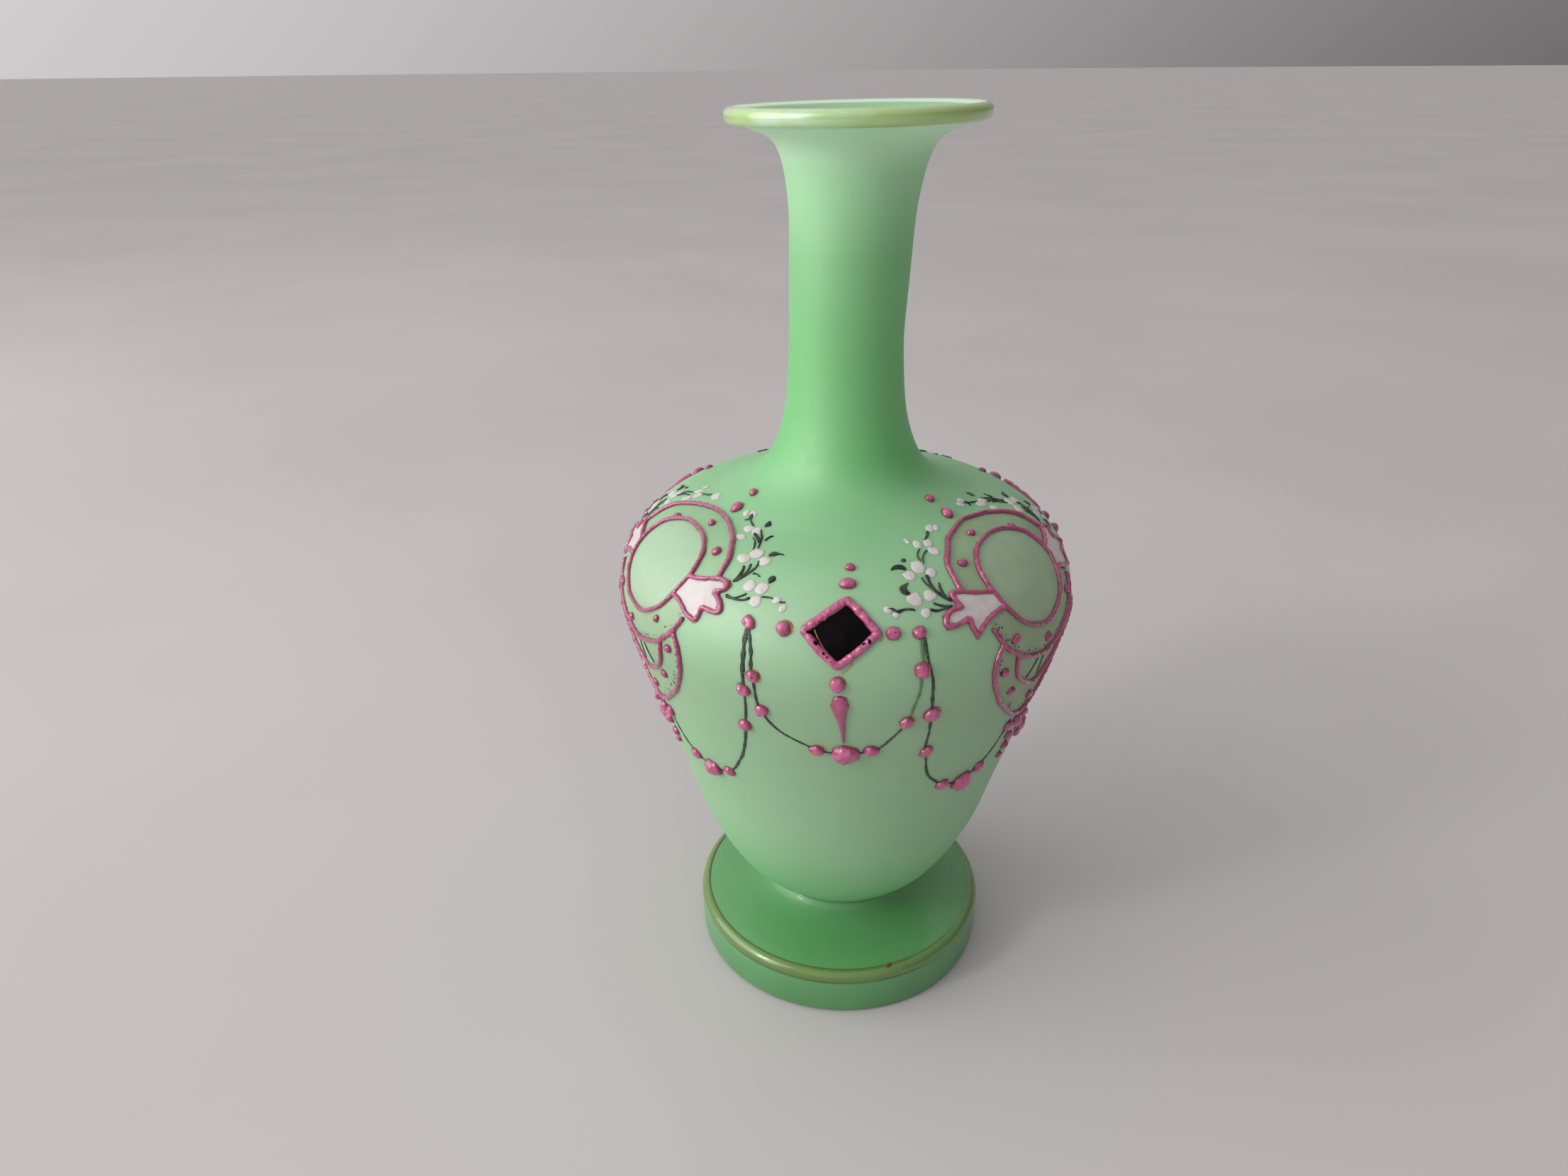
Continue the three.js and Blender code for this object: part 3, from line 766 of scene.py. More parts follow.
# Dots of enamel in the ring and the lobe: x, y, width, how tall and tilt.
RING_DOTS = {
    1: [
        (-10.3, 29.4, 2.6, 2.2, 20), (2.8, 35.1, 2.7, 2.3, -10), (15.2, 28.1, 2.6, 2.7, -30),
        (11, 5.2, 2.4, 2.2, 35), (-3.5, -0.4, 2.6, 2.2, 25), (-15, 4.6, 2.6, 2.3, -30),
        (16.6, -0.9, 2.8, 2.3, 0), (10.4, -12, 3.0, 2.5, 20), (0.4, -20.4, 3.2, 2.5, 0),
        (-11, -12.2, 3.0, 2.5, -20), (-17, -2.6, 2.6, 2.5, 40),
    ],
    -1: [
        (10.2, 29, 3.0, 2.3, -30), (-3.9, 34.5, 2.7, 2.4, 15), (-16, 27, 2.9, 2.3, -15),
        (-14, 4.3, 3.0, 2.5, 25), (0.6, -0.5, 3.4, 2.7, -35), (16, 6.2, 2.8, 2.5, -30),
        (-17.4, -3.8, 2.7, 2.8, 45), (-11.5, -12.4, 3.1, 2.6, -15), (1.6, -20, 3.2, 2.6, -20),
        (11.6, -12, 3.0, 2.5, 20), (16.8, -2, 2.6, 2.5, -40),
    ],
}
SHORT_STRANDS = [[(-0.6, -5.4), (-0.9, -9), (-1.2, -12.8)], [(2.6, -5.2), (3.8, -8.2), (5.6, -11)]]
BEAD_ROW = [(-29, 4), (-34, 3.5), (-38.5, 3), (-42, 2.5)]


def medallion_line(count=120):
    turn = np.linspace(0, 2 * math.pi, count, endpoint=False)
    y = MEDALLION_Y + MEDALLION_HALF_HEIGHT * np.sin(turn)
    return np.stack([MEDALLION_HALF_WIDTH * np.cos(turn), y], -1)


def cornered(line, step, rounding=0.22):
    """A line through corner points, straight between them and only just rounded at them."""
    p = np.array(line, float)
    soft = [p[0]]
    for before, corner, after in zip(p[:-2], p[1:-1], p[2:]):
        soft += [corner + (before - corner) * rounding, corner + (after - corner) * rounding]
    return even([*soft, p[-1]], step)


def facing(part, x):
    """Moves a part drawn at the middle of the drawing round the wall, without a slant."""
    points, faces = part
    y = points[:, 1].mean()
    degrees = math.degrees(x / wall_radius(y))
    shifted = points.copy()
    shifted[:, 0] += across(degrees, points[:, 1])
    return shifted, faces


def wobbled(line, seed, amount=0.16):
    """A drawn line, with the unsteadiness of a hand."""
    line = np.array(line, float)
    return line + amount * np.stack([lumps(line, HAND_LUMPS, seed + k) for k in (0, 1)], -1)


def cartouche_washes():
    """The closed outlines of the parts of the glass that are washed."""
    top, bottom, crescent, lobe = [even(line, 1.5) for line in (RING_TOP, RING_BOTTOM, CRESCENT, LOBE)]
    back = bottom[::-1]
    return {
        "ring": np.concatenate([bottom, [(22.8, 15)], top, [(-22.8, 15)]]),
        "lobe": np.concatenate([lobe, back[6:-6]]),
        "middle": np.concatenate([crescent[::-1], back[12:-12]]),
        "medallion": medallion_line(60),
    }


def add_cartouche(number, azimuth, side):
    """side is 1 or -1: which way round the uneven dots fall."""
    node = f"cartouche_{number}_"
    seed = 40 * number
    lines = [ridge(wobbled(medallion_line(), seed), 1.3, closed=True, seed=seed)]
    for line_seed, (line, width) in zip(range(seed + 2, seed + 10, 2), OUTLINE_LINES):
        lines.append(ridge(wobbled(even(line, 0.6), line_seed), width, seed=line_seed))
    for shell_side, shell_line in SHELL_LINES.items():
        shell = wobbled(cornered(flip(shell_line, shell_side), 0.35, 0.3), seed + 10, 0.06)
        lines.append(ridge(shell, 1.35, 1.0, seed=seed + 10))
    add_fired(node, "outline", fused(lines), azimuth, PINK, "pink_enamel", 0.07, seed)
    for word, shell_side in (("left", -1), ("right", 1)):
        shell = slab(np.array(flip(SHELL_FILLS[shell_side], shell_side)), 0.28)
        add_fired(node, f"{word}_shell", shell, azimuth, WHITE, "white_enamel", 0.04, seed)
    beads = {
        "large_bead_above": facing(bead(0, 43.4, 3.4, 4.1, 20 * side, seed=seed), 1.6 * side),
        "small_bead_above": bead(-0.5 * (1 - side), 49.7, 2.8, 2.7, seed=seed + 1),
        "bead_row": joined([bead(0.4 * (-1) ** k, y, width, seed=seed + k)
                            for k, (y, width) in enumerate(BEAD_ROW)]),
    }
    for word, part in beads.items():
        add_fired(node, word, part, azimuth, PINK, "pink_enamel", 0.05, seed)
    dots = joined([facing(bead(0, y, width, tall, tilt, seed=seed + k, rough=0.1), x)
                   for k, (x, y, width, tall, tilt) in enumerate(RING_DOTS[side])])
    add_enamel(f"{node}ring_dots", dots, azimuth, PINK, "pink_enamel", lump=0.06, seed=seed)
    strands = joined([ridge(even(flip(line, side), 0.4), (0.9, 1.4), STRAND_HEIGHT)
                      for line in SHORT_STRANDS])
    add_enamel(f"{node}short_strands", strands, azimuth, STRAND, "dark_enamel")
    add_specks(f"{node}specks", azimuth, seed)
    add_shell_gold(f"{node}gold_edge", azimuth, seed)


SLAB_STEP = 0.7


def slab(outline, height):
    """A thin filled shape: a grid of cells, kept where they fall inside the outline."""
    step = SLAB_STEP
    low, high = outline.min(0), outline.max(0)
    columns = np.arange(low[0], high[0] + step, step)
    rows = np.arange(low[1], high[1] + step, step)
    gx, gy = np.meshgrid(columns, rows)
    middle_x = (gx[:-1, :-1] + step / 2).ravel()
    middle_y = (gy[:-1, :-1] + step / 2).ravel()
    kept = np.nonzero(inside_outline(middle_x, middle_y, outline))[0]
    count = len(columns)
    corners = kept // (count - 1) * count + kept % (count - 1)
    top = np.stack([corners, corners + 1, corners + 1 + count, corners + count], -1)
    flat = np.stack([gx.ravel(), gy.ravel()], -1)
    total = len(flat)
    faces = top.tolist() + (top[:, ::-1] + total).tolist()
    edges = {}
    for face in top.tolist():
        for a, b in zip(face, face[1:] + face[:1]):
            edges[(a, b)] = edges.get((a, b), 0) + 1
    faces += [[b, a, a + total, b + total] for a, b in edges if (b, a) not in edges]
    used = sorted({corner for face in faces for corner in face})
    index = {old: new for new, old in enumerate(used)}
    z = np.concatenate([np.full(total, height), np.full(total, -SINK)])
    points = np.concatenate([np.concatenate([flat, flat]), z[:, None]], -1)[used]
    return points, [[index[corner] for corner in face] for face in faces]


def add_specks(name, azimuth, seed):
    """Dark grains of paint caught along the inner edges of the ring and the lobe."""
    rng = np.random.default_rng(seed)
    tracks = [even(RING_BOTTOM, 0.5) * (0.93, 1) + (0, 1.4), even(LOBE, 0.5) * (0.93, 0.95) + (0, 0.6)]
    grains = []
    for track in tracks:
        for place in track[rng.integers(0, len(track), 50)]:
            x, y = place + rng.normal(0, 0.4, 2)
            width, tilt = rng.uniform(0.25, 0.85), rng.uniform(0, 180)
            grains.append(bead(x, y, width, width * rng.uniform(0.4, 0.9), tilt, 0.06))
    add_enamel(name, joined(grains), azimuth, LEAF, "dark_enamel")


def add_shell_gold(name, azimuth, seed):
    """Broken gold lines along the edges of the shells."""
    rng = np.random.default_rng(seed + 5)
    lines = []
    for shell_side in (-1, 1):
        middle = np.array([22.0 * shell_side, 15.5])
        for share in (0.84, 1.14):
            line = cornered(flip(SHELL_LINES[shell_side], shell_side), 0.4)
            outline = middle + (line - middle) * share
            for start in rng.integers(0, len(outline) - 12, 5):
                piece = outline[start:start + rng.integers(6, 12)]
                lines.append(ridge(piece, 0.35, 0.3 if share < 1 else 0.12, seed=int(start)))
    add_enamel(name, joined(lines), azimuth, GOLD_LINE, "gilding")


# ---- diamonds ----
FRAME_LINE = [(1.0, 20.7), (8.4, 12.6), (-1.3, 5.0), (-9.2, 13.1)]
STONE = [(0.9, 20.0), (7.7, 12.5), (-1.2, 5.8), (-8.3, 13.2)]
# Black enamel that ran over the frame, and pinholes: x, y, width, how tall, tilt and height.
BLOTS = [
    (-7.9, 12.6, 1.7, 1.0, 0, 1.35), (-6.2, 10.3, 1.9, 1.1, -50, 1.35), (-4.3, 8.1, 1.3, 0.8, -48, 1.35),
    (-3.5, 7.3, 0.8, 0.7, 0, 1.35), (-2.6, 6.3, 1.0, 0.7, -40, 1.35), (6.2, 10.9, 1.1, 1.9, 15, 1.35),
    (4.9, 10.4, 1.2, 0.5, 40, 1.35), (3.1, 17.9, 0.5, 0.4, 0, 1.3), (6.4, 15.2, 0.4, 0.3, 0, 1.3),
    (-5.4, 15.2, 0.5, 0.4, 0, 1.3), (-21.5, 0.2, 0.6, 0.5, 0, 1.5), (12.2, 12.6, 0.5, 0.5, 0, 1.55),
]
BROWN_LINES = [[(0.4, 19.2), (-1.5, 17.7), (-3.2, 16.6), (-4.6, 15.4)],
               [(-6.5, 13.6), (-6.0, 12.2), (-4.4, 9.4), (-3, 7.9), (-1.6, 6.3)]]
GOLD_EDGES = [[(4.9, 17.6), (6.3, 16), (7.9, 14.3)], [(9.6, 12.1), (8.6, 10.6)],
              [(2.6, 5.9), (1.2, 4.2), (-0.4, 3.2)]]
PENDANT = [(0.6, -19.1), (0.45, -16.5), (0.2, -13), (-0.25, -9), (-0.5, -5.8), (-0.4, -2.8)]
PENDANT_WIDTHS = [0.5, 1.0, 1.5, 2.8, 4.5, 2.8]
DIAMOND_BEADS = {
    "large_bead_above": (1.2, 25.3, 4.3, 3.1, 5), "small_bead_above": (1.7, 30.2, 2.7, 2.3, -10),
    "left_bead": (-14, 12.8, 3.7, 3.6, 0), "right_bead": (12, 12.5, 3.8, 3.3, -20),
    "bead_below": (-1.1, 0.4, 3.7, 4.2, 0),
}
HALO_BEADS = {"left_bead": 0.9, "bead_below": 0.35}


def closed_line(corners):
    """A closed line through corners, from one pass of the second of them to the next."""
    line = cornered(corners + corners[:2], 0.4, 0.07)
    half = len(line) // 2
    far = np.linalg.norm(line - np.array(corners[1]), axis=1)
    return line[np.argmin(far[:half]):half + np.argmin(far[half:])]


def teardrop(seed):
    """A pendant, made by widening a thin ridge."""
    line = even(PENDANT, 0.5)
    points, faces = ridge(line, 1.0, 1.0, seed=seed, rough=0.04)
    columns = DOME_STEPS + 2
    grow = np.repeat(spread(PENDANT_WIDTHS, len(line)), columns)[:, None]
    centre = np.repeat(line, columns, axis=0)
    points[:, :2] = centre + (points[:, :2] - centre) * grow
    points[:, 2] = np.where(points[:, 2] > 0, points[:, 2] * (0.45 + 0.16 * grow[:, 0]), points[:, 2])
    return points, faces


def add_diamond(number, azimuth):
    node = f"diamond_{number}_"
    seed = 700 + 30 * number
    frame_line = wobbled(closed_line(FRAME_LINE), seed, 0.12)
    frame_part = fused([ridge(frame_line, 2.15, 1.3, closed=True, seed=seed, rough=0.09)], soften=3)
    add_fired(node, "frame", frame_part, azimuth, PINK, "pink_enamel", 0.08, seed)
    add_fired(node, "stone", slab(closed_line(STONE), 0.45), azimuth, BLACK, "dark_enamel", 0.03, seed)
    for word, (x, y, width, tall, tilt) in DIAMOND_BEADS.items():
        part = bead(x, y, width, tall, tilt, seed=seed + len(word))
        add_fired(node, word, part, azimuth, PINK, "pink_enamel", 0.05, seed)
    add_fired(node, "pendant", teardrop(seed), azimuth, PINK, "pink_enamel", 0.05, seed)
    blots = joined([bead(*blot) for blot in BLOTS])
    add_enamel(f"{node}black_blots", blots, azimuth, BLACK, "dark_enamel")
    lines = joined([ridge(even(line, 0.3), 0.35, 0.7) for line in BROWN_LINES]
                   + [ridge(even(line, 0.3), 0.4, 0.12) for line in GOLD_EDGES])
    add_enamel(f"{node}gold_lines", lines, azimuth, GOLD_LINE, "gilding")
    halos = [halo(*DIAMOND_BEADS[word][:4], shift) for word, shift in HALO_BEADS.items()]
    add_enamel(f"{node}halos", joined(halos), azimuth, GOLD_LINE, "gilding")


def halo(x, y, width, tall, shift=0.45):
    """A little worn gold that shows past the upper right edge of a bead."""
    return bead(x + shift * 0.75, y + shift * 0.5, width + 0.15, tall + 0.15, height=0.1)


# ---- swags ----
CENTRE_SWAG = {
    "line": [
        (-22.6, 11.8), (-22.3, 6), (-22, 0), (-20.2, -10.5), (-15.6, -16.8), (-6, -22.3), (1.1, -23),
        (8, -22), (12.6, -18), (16.2, -12.5), (18.4, -4), (19.2, 4), (18.9, 11.5),
    ],
    "widths": [1.1, 1.1, 0.8, 0.7, 0.7, 0.5, 0.45, 0.6, 0.7, 0.7, 0.7, 0.8, 1.0, 1.1],
    "beads": [
        (-22.8, 12.9, 3.4, 3.4, 30), (-21.8, 0, 3.5, 3.2, -25), (-19.9, -10.5, 3.9, 3.7, -30),
        (-6, -22.2, 4.3, 3.3, -8), (1.1, -23, 7, 5.9, 0), (7.5, -22, 4.2, 3.4, -5),
        (16, -12.7, 3.7, 3.7, 25), (19.2, 2.9, 4.2, 4.4, 20), (18.3, 12, 3.6, 3.2, -25),
    ],
    "halos": [1, 3, 6, 7],
    "faded_past": (10, -15),
}
# The side swags' x is measured from the middle of a cartouche. They are drawn for a diamond and a
# cartouche drawn_apart degrees apart, and stretch or shrink where those are not.
RIGHT_SWAG = {
    "line": [
        (38.9, 11.6), (40.3, 6), (40.7, 0), (40.3, -4.8), (39.2, -11), (37.1, -17.5), (34, -26),
        (29.3, -34), (24, -39.8), (17.3, -42), (10.7, -40.5), (6, -36.5), (3.6, -31), (3.2, -26.5),
    ],
    "widths": [1.1, 1.2, 1.1, 0.8, 0.8, 0.8, 0.8, 0.7, 0.7, 0.7, 0.7, 0.8, 0.9, 0.9],
    "beads": [
        (40.3, -4.8, 4.0, 3.7, -20), (37.1, -17.5, 3.9, 3.6, 20), (24, -39.9, 3.8, 3.0, 12),
        (17.3, -42, 6.4, 5.1, 10), (10.7, -40.5, 4.3, 3.2, -10), (4.4, -28.4, 3.5, 3.5, 0),
    ],
    "drawn_apart": 59,
}
LEFT_SWAG = {
    "line": [
        (38.5, 11), (39.6, 5), (38.9, -1), (36.8, -11), (35.3, -18), (33.9, -25), (30, -34.5),
        (26, -39.3), (23.3, -41.2), (16.2, -43), (10.8, -40.3), (6.7, -35), (4.4, -29), (3.9, -26),
    ],
    "widths": [0.7, 0.7, 0.8, 0.9, 0.7, 0.7, 0.7, 0.7, 0.6, 0.6, 0.6, 0.8, 0.9, 0.9],
    "beads": [
        (36.8, -11, 4.5, 4.4, 0), (33.9, -25, 3.4, 3.8, 20), (23.2, -41.3, 4.1, 3.4, -15),
        (16.2, -43, 6.8, 5.8, -20), (10.8, -40.2, 4.2, 3.3, -10), (4.4, -28.4, 3.5, 3.5, 0),
    ],
    "halos": [0],
    "drawn_apart": 55,
}
SIDE_SWAGS = {1: RIGHT_SWAG, -1: LEFT_SWAG}


def turn_to_diamond(azimuth, side):
    """Degrees from an azimuth to the next diamond on one side of it."""
    return min((diamond - azimuth) * side % 360 for diamond in DIAMOND_AZIMUTHS)


def add_swag(node, azimuth, swag, side, seed):
    stretch = side
    if "drawn_apart" in swag:
        stretch *= turn_to_diamond(azimuth, side) / swag["drawn_apart"]
    beads = [(x * stretch, y, width, tall, side * tilt) for x, y, width, tall, tilt in swag["beads"]]
    drops = joined([bead(*drop, seed=seed + k, rough=0.08) for k, drop in enumerate(beads)])
    add_enamel(f"{node}_beads", drops, azimuth, PINK, "pink_enamel", [node], 0.07, seed)
    line = wobbled(even([(x * stretch, y) for x, y in swag["line"]], 0.3), seed, 0.15)
    strand = ridge(line, swag["widths"], STRAND_HEIGHT, seed=seed, rough=0.25)
    faded = np.zeros(len(strand[0]))
    if "faded_past" in swag:
        x, y = swag["faded_past"]
        faded[(strand[0][:, 0] > x) & (strand[0][:, 1] > y)] = 1
    add_enamel(f"{node}_strand", strand, azimuth, STRAND, "dark_enamel", faded=faded)
    if "halos" in swag:
        halos = joined([halo(*beads[k][:4]) for k in swag["halos"]])
        add_enamel(f"{node}_halos", halos, azimuth, GOLD_LINE, "gilding")


# ---- flower sprays ----
# Petals are x, y, width, how tall and tilt. Brush strokes are a line and the widths along it. A spray is
# the degrees from its cartouche's middle to its own, its petals and its strokes.
RIGHT_PETALS = [
    (1.6, 31.3, 3.7, 3.9, 0), (-0.7, 28.7, 3.8, 2.9, 0), (4.9, 29.4, 3.2, 3.0, 35),
    (4.8, 21.8, 3.2, 3.2, 0), (8.2, 21.8, 3.4, 3.2, 20), (8.1, 18.1, 3.1, 3.0, 0),
    (13, 19.5, 2.1, 1.9, 0), (15.4, 17.8, 1.8, 2.2, 0), (-6.2, 38.9, 3.2, 3.0, 0),
    (-3.5, 38.9, 3.2, 3.0, -45), (-6.2, 35.3, 3.0, 2.3, 15), (-11, 43.3, 2.0, 2.4, 0),
    (-8.7, 44, 2.3, 2.2, 0),
]
RIGHT_STROKES = [
    ([(0.1, 21.7), (0.7, 23), (1.0, 24.8), (0.9, 26), (0.5, 26.8)], (0.7, 0.7, 0.9)),
    ([(0.4, 21.8), (1.2, 23.2), (2.2, 25), (2.3, 26.5), (2.0, 27.8)], (0.7, 0.6)),
    ([(0.6, 22), (1.9, 23.6), (3.1, 25.3), (3.8, 27), (3.8, 28.4), (3.5, 29.2)], (0.8, 0.6, 0.5)),
    ([(3.9, 25.1), (4.9, 25.3), (6.3, 24.7)], (0.4, 0.3)),
    ([(0.9, 32.9), (0.2, 35), (-0.8, 37.3), (-2.8, 39.8)], (0.3, 0.6, 0.5)),
    ([(0.1, 31.9), (-0.5, 33.4), (-1.6, 35.3), (-3.0, 36.3)], (0.3, 0.5, 0.3)),
    ([(-3.8, 38), (-2.5, 37.3), (-1, 36.2), (-0.1, 35)], (0.9, 1.1, 0.7)),
    ([(0.8, 36.2), (0.9, 37.3), (1.3, 38.3), (1.9, 38.8)], (0.7, 0.2)),
    ([(-2.5, 43.6), (-2.1, 42.6), (-2.6, 41.2)], (0.5, 1.7, 0.3)),
    ([(-8.6, 44.1), (-8.6, 42.9), (-8.2, 41.8)], (0.7, 1.2, 0.8)),
    ([(-8.2, 42), (-7, 41.2), (-5.5, 40.2)], (0.4, 0.6)),
    ([(-9.7, 41), (-8.4, 41.9)], (0.2, 0.4)),
    ([(4.9, 31.3), (5.5, 32.1), (6.5, 32.6), (8.5, 32.6)], (1.0, 2.0, 0.5, 0.15)),
    ([(9.4, 25.8), (9.4, 24.6), (9.2, 23.4)], (1.3, 1.8, 0.5)),
    ([(-0.2, 17.9), (2, 17.7), (4, 18.7), (5.2, 19.7)], (0.9, 0.5, 0.4)),
    ([(0, 17.8), (2.5, 17.6), (4.7, 17.8), (6, 18.5), (6.4, 18.9)], (0.5, 0.5, 0.7)),
    ([(9, 19.6), (10.5, 19.8), (11.6, 19.8), (12.3, 19.4)], (0.35, 0.5, 0.3)),
    ([(13.9, 19), (15.5, 19.3)], (0.5, 0.3)),
    ([(-0.9, 21.7), (-0.4, 21.2)], (0.8, 0.7)),
]
LEFT_PETALS = [
    (0.2, 28.8, 3.3, 4.2, 0), (-2.8, 26.6, 3.3, 2.8, -15), (2.9, 26.5, 2.9, 2.7, 0),
    (-3.6, 20.1, 4.1, 3.5, -20), (0.2, 20.5, 3.1, 3.1, 0), (-2, 16.4, 2.6, 2.5, 0),
    (-11, 18.1, 1.9, 2.0, 0), (-9.4, 16.8, 1.6, 1.6, 0), (3.4, 36.4, 2.2, 3.2, 0),
    (6.3, 36, 2.6, 3.0, 0), (6.5, 32.9, 2.6, 3.4, 45), (9.5, 41, 2.6, 3.0, 0),
    (11.2, 40.6, 2.1, 2.4, 0), (1.3, 38.2, 1.2, 2.3, 15),
]
LEFT_STROKES = [
    ([(-6.8, 28.7), (-5.5, 29.4), (-4, 29.4), (-3, 28.3)], (0.2, 1.2, 1.7, 0.5)),
    ([(-2.8, 32), (-2.2, 30.9)], (1.3, 1.4)),
    ([(0.8, 38.5), (1.0, 38.2)], (0.5, 0.4)),
    ([(-3.8, 24.7), (-5.1, 23.8), (-5.7, 22.8), (-5.1, 22), (-4.3, 21.5)], (0.15, 0.9, 1.9, 1.4, 0.8)),
    ([(-11, 18.4), (-9.6, 18.2), (-8.9, 17.5), (-7, 17.9), (-5, 17.7), (-4.6, 17.2)],
     (0.3, 0.6, 1.0, 0.6, 0.7, 0.3)),
    ([(5.4, 18.1), (4, 19), (2.6, 20.6), (1, 22.7), (0.1, 24.5), (0, 25.7)], (0.6, 0.5, 0.4)),
    ([(5.2, 18.4), (3.9, 19.6), (2.2, 21.5), (1.5, 23.5), (1.4, 25.3), (1.4, 26.2)], (0.6, 0.6, 0.9)),
    ([(4.7, 18.7), (3.9, 20), (3.5, 21.8), (3.7, 23.5)], (0.6, 0.8, 0.6)),
    ([(5.2, 17), (3, 17.3), (1.5, 17.9), (0.4, 18.6)], (0.6, 0.7, 0.5)),
    ([(5, 17), (2.5, 16.6), (0.5, 16.6), (-0.8, 17.2)], (0.6, 0.6, 0.8)),
    ([(1.7, 30.3), (1.5, 31.8), (2, 33.2), (3.2, 34.6)], (0.4, 0.35)),
    ([(2, 29.4), (2.6, 31.3), (3.5, 32.6), (4.9, 33.6)], (0.35, 0.4)),
    ([(5.8, 37.2), (7, 38.3), (7.8, 39.2), (8.3, 40.3)], (0.3, 0.7, 0.9)),
]
SPRAYS = {1: (29, RIGHT_PETALS, RIGHT_STROKES), -1: (-33, LEFT_PETALS, LEFT_STROKES)}


def add_spray(name, azimuth, side, seed):
    degrees, petals, strokes = SPRAYS[side]
    drops = joined([bead(*petal, height=PETAL_HEIGHT, seed=seed + k, rough=0.1)
                    for k, petal in enumerate(petals)])
    add_enamel(f"{name}_petals", drops, azimuth + degrees, WHITE, "white_enamel", lump=0.05, seed=seed)
    marks = joined([ridge(even(line, 0.2), widths, STROKE_HEIGHT, seed=seed + k, rough=0.15)
                    for k, (line, widths) in enumerate(strokes)])
    add_enamel(f"{name}_leaves", marks, azimuth + degrees, LEAF, "dark_enamel")


# ---- camera, lights and floor ----
CAMERA_PLACE = Vector((0, -1.1094, 1.0326)) * TOP
CAMERA_PITCH, CAMERA_YAW, CAMERA_ROLL = math.radians(26.33), math.radians(-3.606), math.radians(-0.519)
CAMERA_LENS, CAMERA_SENSOR = 24.4, 36.0
BRIGHT_SIDE = (-0.72, -0.1, 0.68)
ROOM_COLOUR = (208, 204, 205)
ROOM_DARKEST = -0.7
ROOM_STRENGTHS = (0.03, 1.58)
WINDOW_PLACE = (-1.45, -0.45, 0.8)
WINDOW_SIZE = (1.9, 1.5)
WINDOW_POWER = 15.5
PANE_PLACE = (-1.35, -0.85, 0.9)
PANE_SIZE = (0.22, 0.4)
PANE_POWER = 6.0
LIGHT_AIM = (0, 0, 0.12)
LIGHT_COLOUR = (1.0, 0.985, 0.96)
FLOOR_RADIUS = 40.0
FLOOR_DROP = 0.0002


def add_camera():
    ahead, down = math.cos(CAMERA_PITCH), math.sin(CAMERA_PITCH)
    forward = Vector((math.sin(CAMERA_YAW) * ahead, math.cos(CAMERA_YAW) * ahead, -down))
    level = Vector((math.cos(CAMERA_YAW), -math.sin(CAMERA_YAW), 0))
    up = level.cross(forward)
    right = level * math.cos(CAMERA_ROLL) + up * math.sin(CAMERA_ROLL)
    top = up * math.cos(CAMERA_ROLL) - level * math.sin(CAMERA_ROLL)
    lens = bpy.data.cameras.new("camera")
    lens.lens, lens.sensor_width, lens.clip_start = CAMERA_LENS, CAMERA_SENSOR, 0.01
    camera = add_object("camera", lens)
    turn = Matrix((right, top, -forward)).transposed().to_4x4()
    camera.matrix_world = Matrix.Translation(CAMERA_PLACE) @ turn
    bpy.context.scene.camera = camera


def add_light(name, place, size, power):
    light = bpy.data.lights.new(name, "AREA")
    light.shape, light.size, light.size_y = "RECTANGLE", size[0], size[1]
    light.energy, light.color = power, LIGHT_COLOUR
    lamp = add_object(name, light)
    lamp.location = place
    lamp.rotation_euler = (Vector(LIGHT_AIM) - Vector(place)).to_track_quat("-Z", "Y").to_euler()


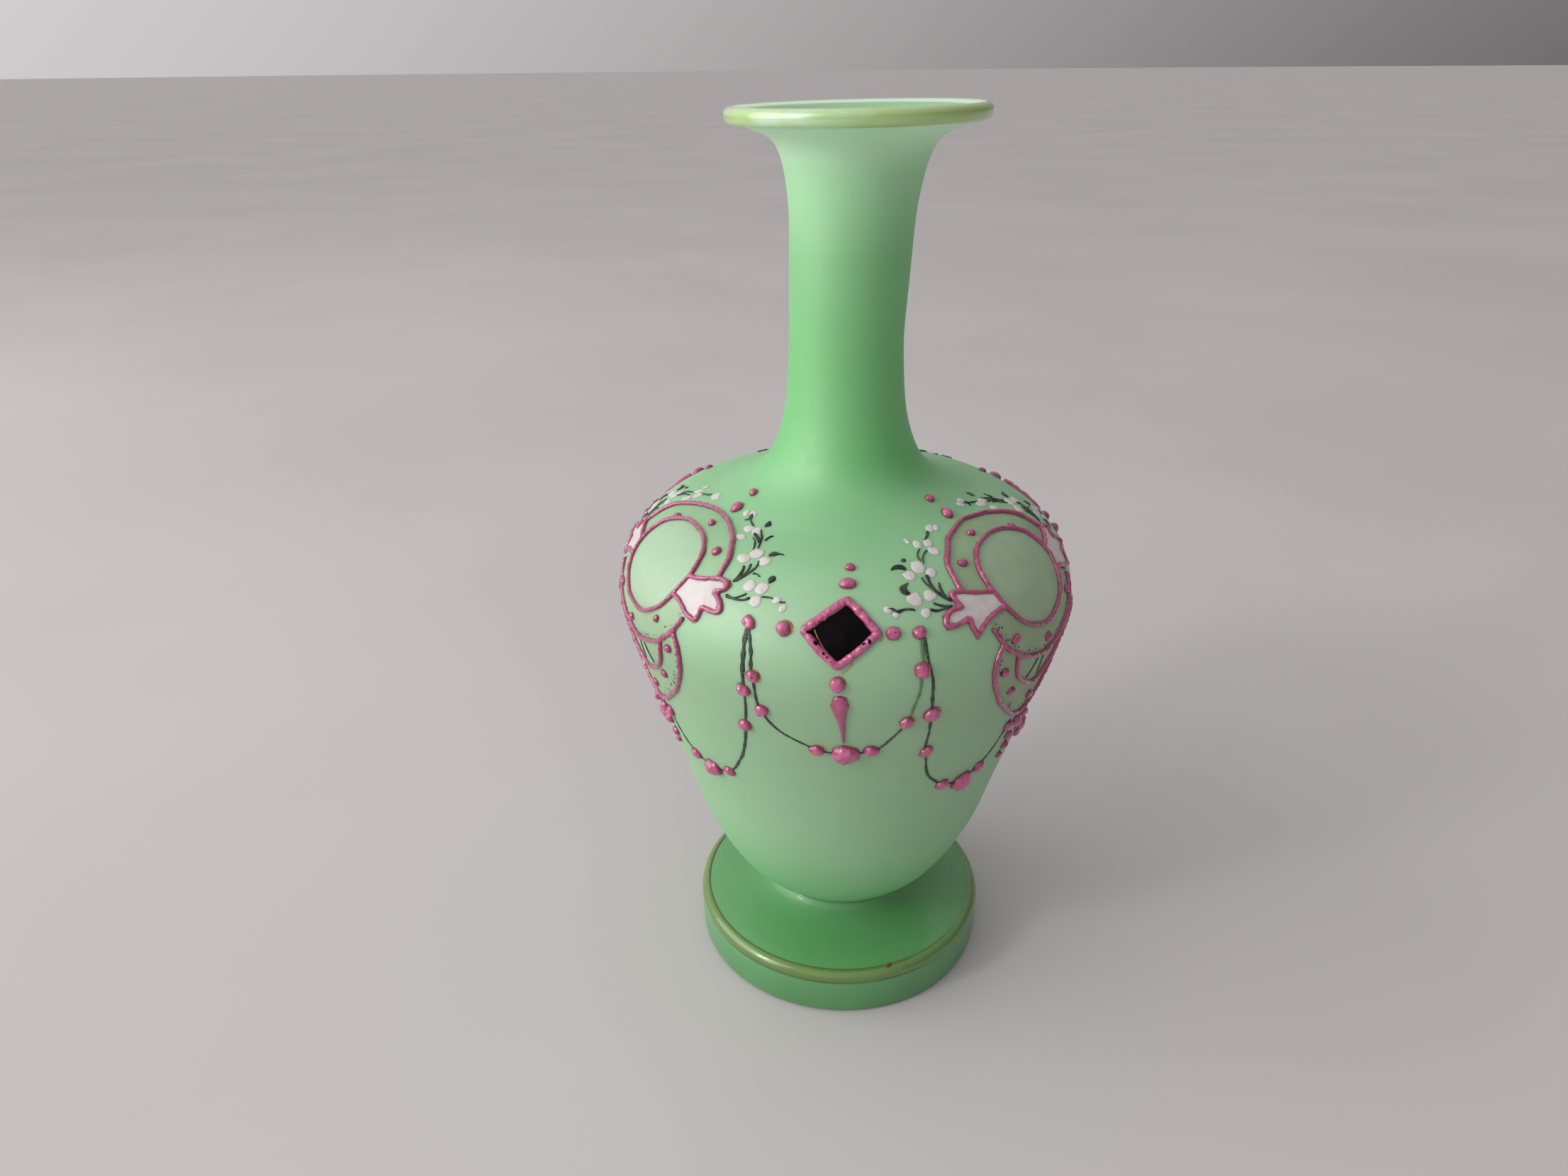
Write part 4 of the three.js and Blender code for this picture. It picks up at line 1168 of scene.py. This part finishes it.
def add_world():
    """An even, pale room that is brighter on the window's side and overhead."""
    world = bpy.data.worlds.new("room")
    world.use_nodes = True
    tree = world.node_tree
    background = tree.nodes["Background"]
    background.inputs["Color"].default_value = linear(ROOM_COLOUR)
    direction = add_node(tree, "ShaderNodeTexCoord", {}).outputs["Generated"]
    sides = {0: direction, 1: BRIGHT_SIDE}
    towards = add_node(tree, "ShaderNodeVectorMath", sides, operation="DOT_PRODUCT").outputs["Value"]
    strength = map_range(tree, towards, ROOM_DARKEST, 1.0, *ROOM_STRENGTHS)
    tree.links.new(strength, background.inputs["Strength"])
    bpy.context.scene.world = world


def add_stage():
    add_world()
    bpy.context.scene.view_settings.view_transform = "Standard"
    add_light("window", WINDOW_PLACE, WINDOW_SIZE, WINDOW_POWER)
    add_light("bright_pane", PANE_PLACE, PANE_SIZE, PANE_POWER)
    disc = bmesh.new()
    bmesh.ops.create_circle(disc, cap_ends=True, segments=96, radius=FLOOR_RADIUS)
    mesh = bpy.data.meshes.new("floor")
    disc.to_mesh(mesh)
    disc.free()
    mesh.materials.append(FLOOR)
    floor = add_object("floor", mesh)
    floor.location.z = -FLOOR_DROP


# ---- assembly ----
add_camera()
add_stage()

cells = cartouche_washes()
add_body({
    "wash_and_shade": ([cells["ring"], cells["lobe"], cells["medallion"], cells["middle"]], WASH_AND_SHADE_STRENGTHS),
    "medallion": ([cells["medallion"]], (1, 1, 1)),
})
add_foot()
add_band("lip_gilding", RIM, 0.22, LIP_GILT, "lip_gilt_band")
add_band("foot_gilding", FOOT_ROLL, 0.25, FOOT_GILT, "foot_gilt_band")
add_chip()

for index, azimuth in enumerate(DIAMOND_AZIMUTHS):
    add_diamond(index + 1, azimuth)
    add_swag(f"centre_swag_{index + 1}", azimuth, CENTRE_SWAG, 1, 100 + 20 * index)

for index, azimuth in enumerate(CARTOUCHE_AZIMUTHS):
    near_side = 1 if azimuth < 0 else -1
    add_cartouche(index + 1, azimuth, near_side)
    for word, side in (("left", -1), ("right", 1)):
        seed = 300 + 40 * index + 9 * side
        add_swag(f"{word}_swag_{index + 1}", azimuth, SIDE_SWAGS[side], side, seed)
        add_spray(f"{word}_spray_{index + 1}", azimuth, side, seed)
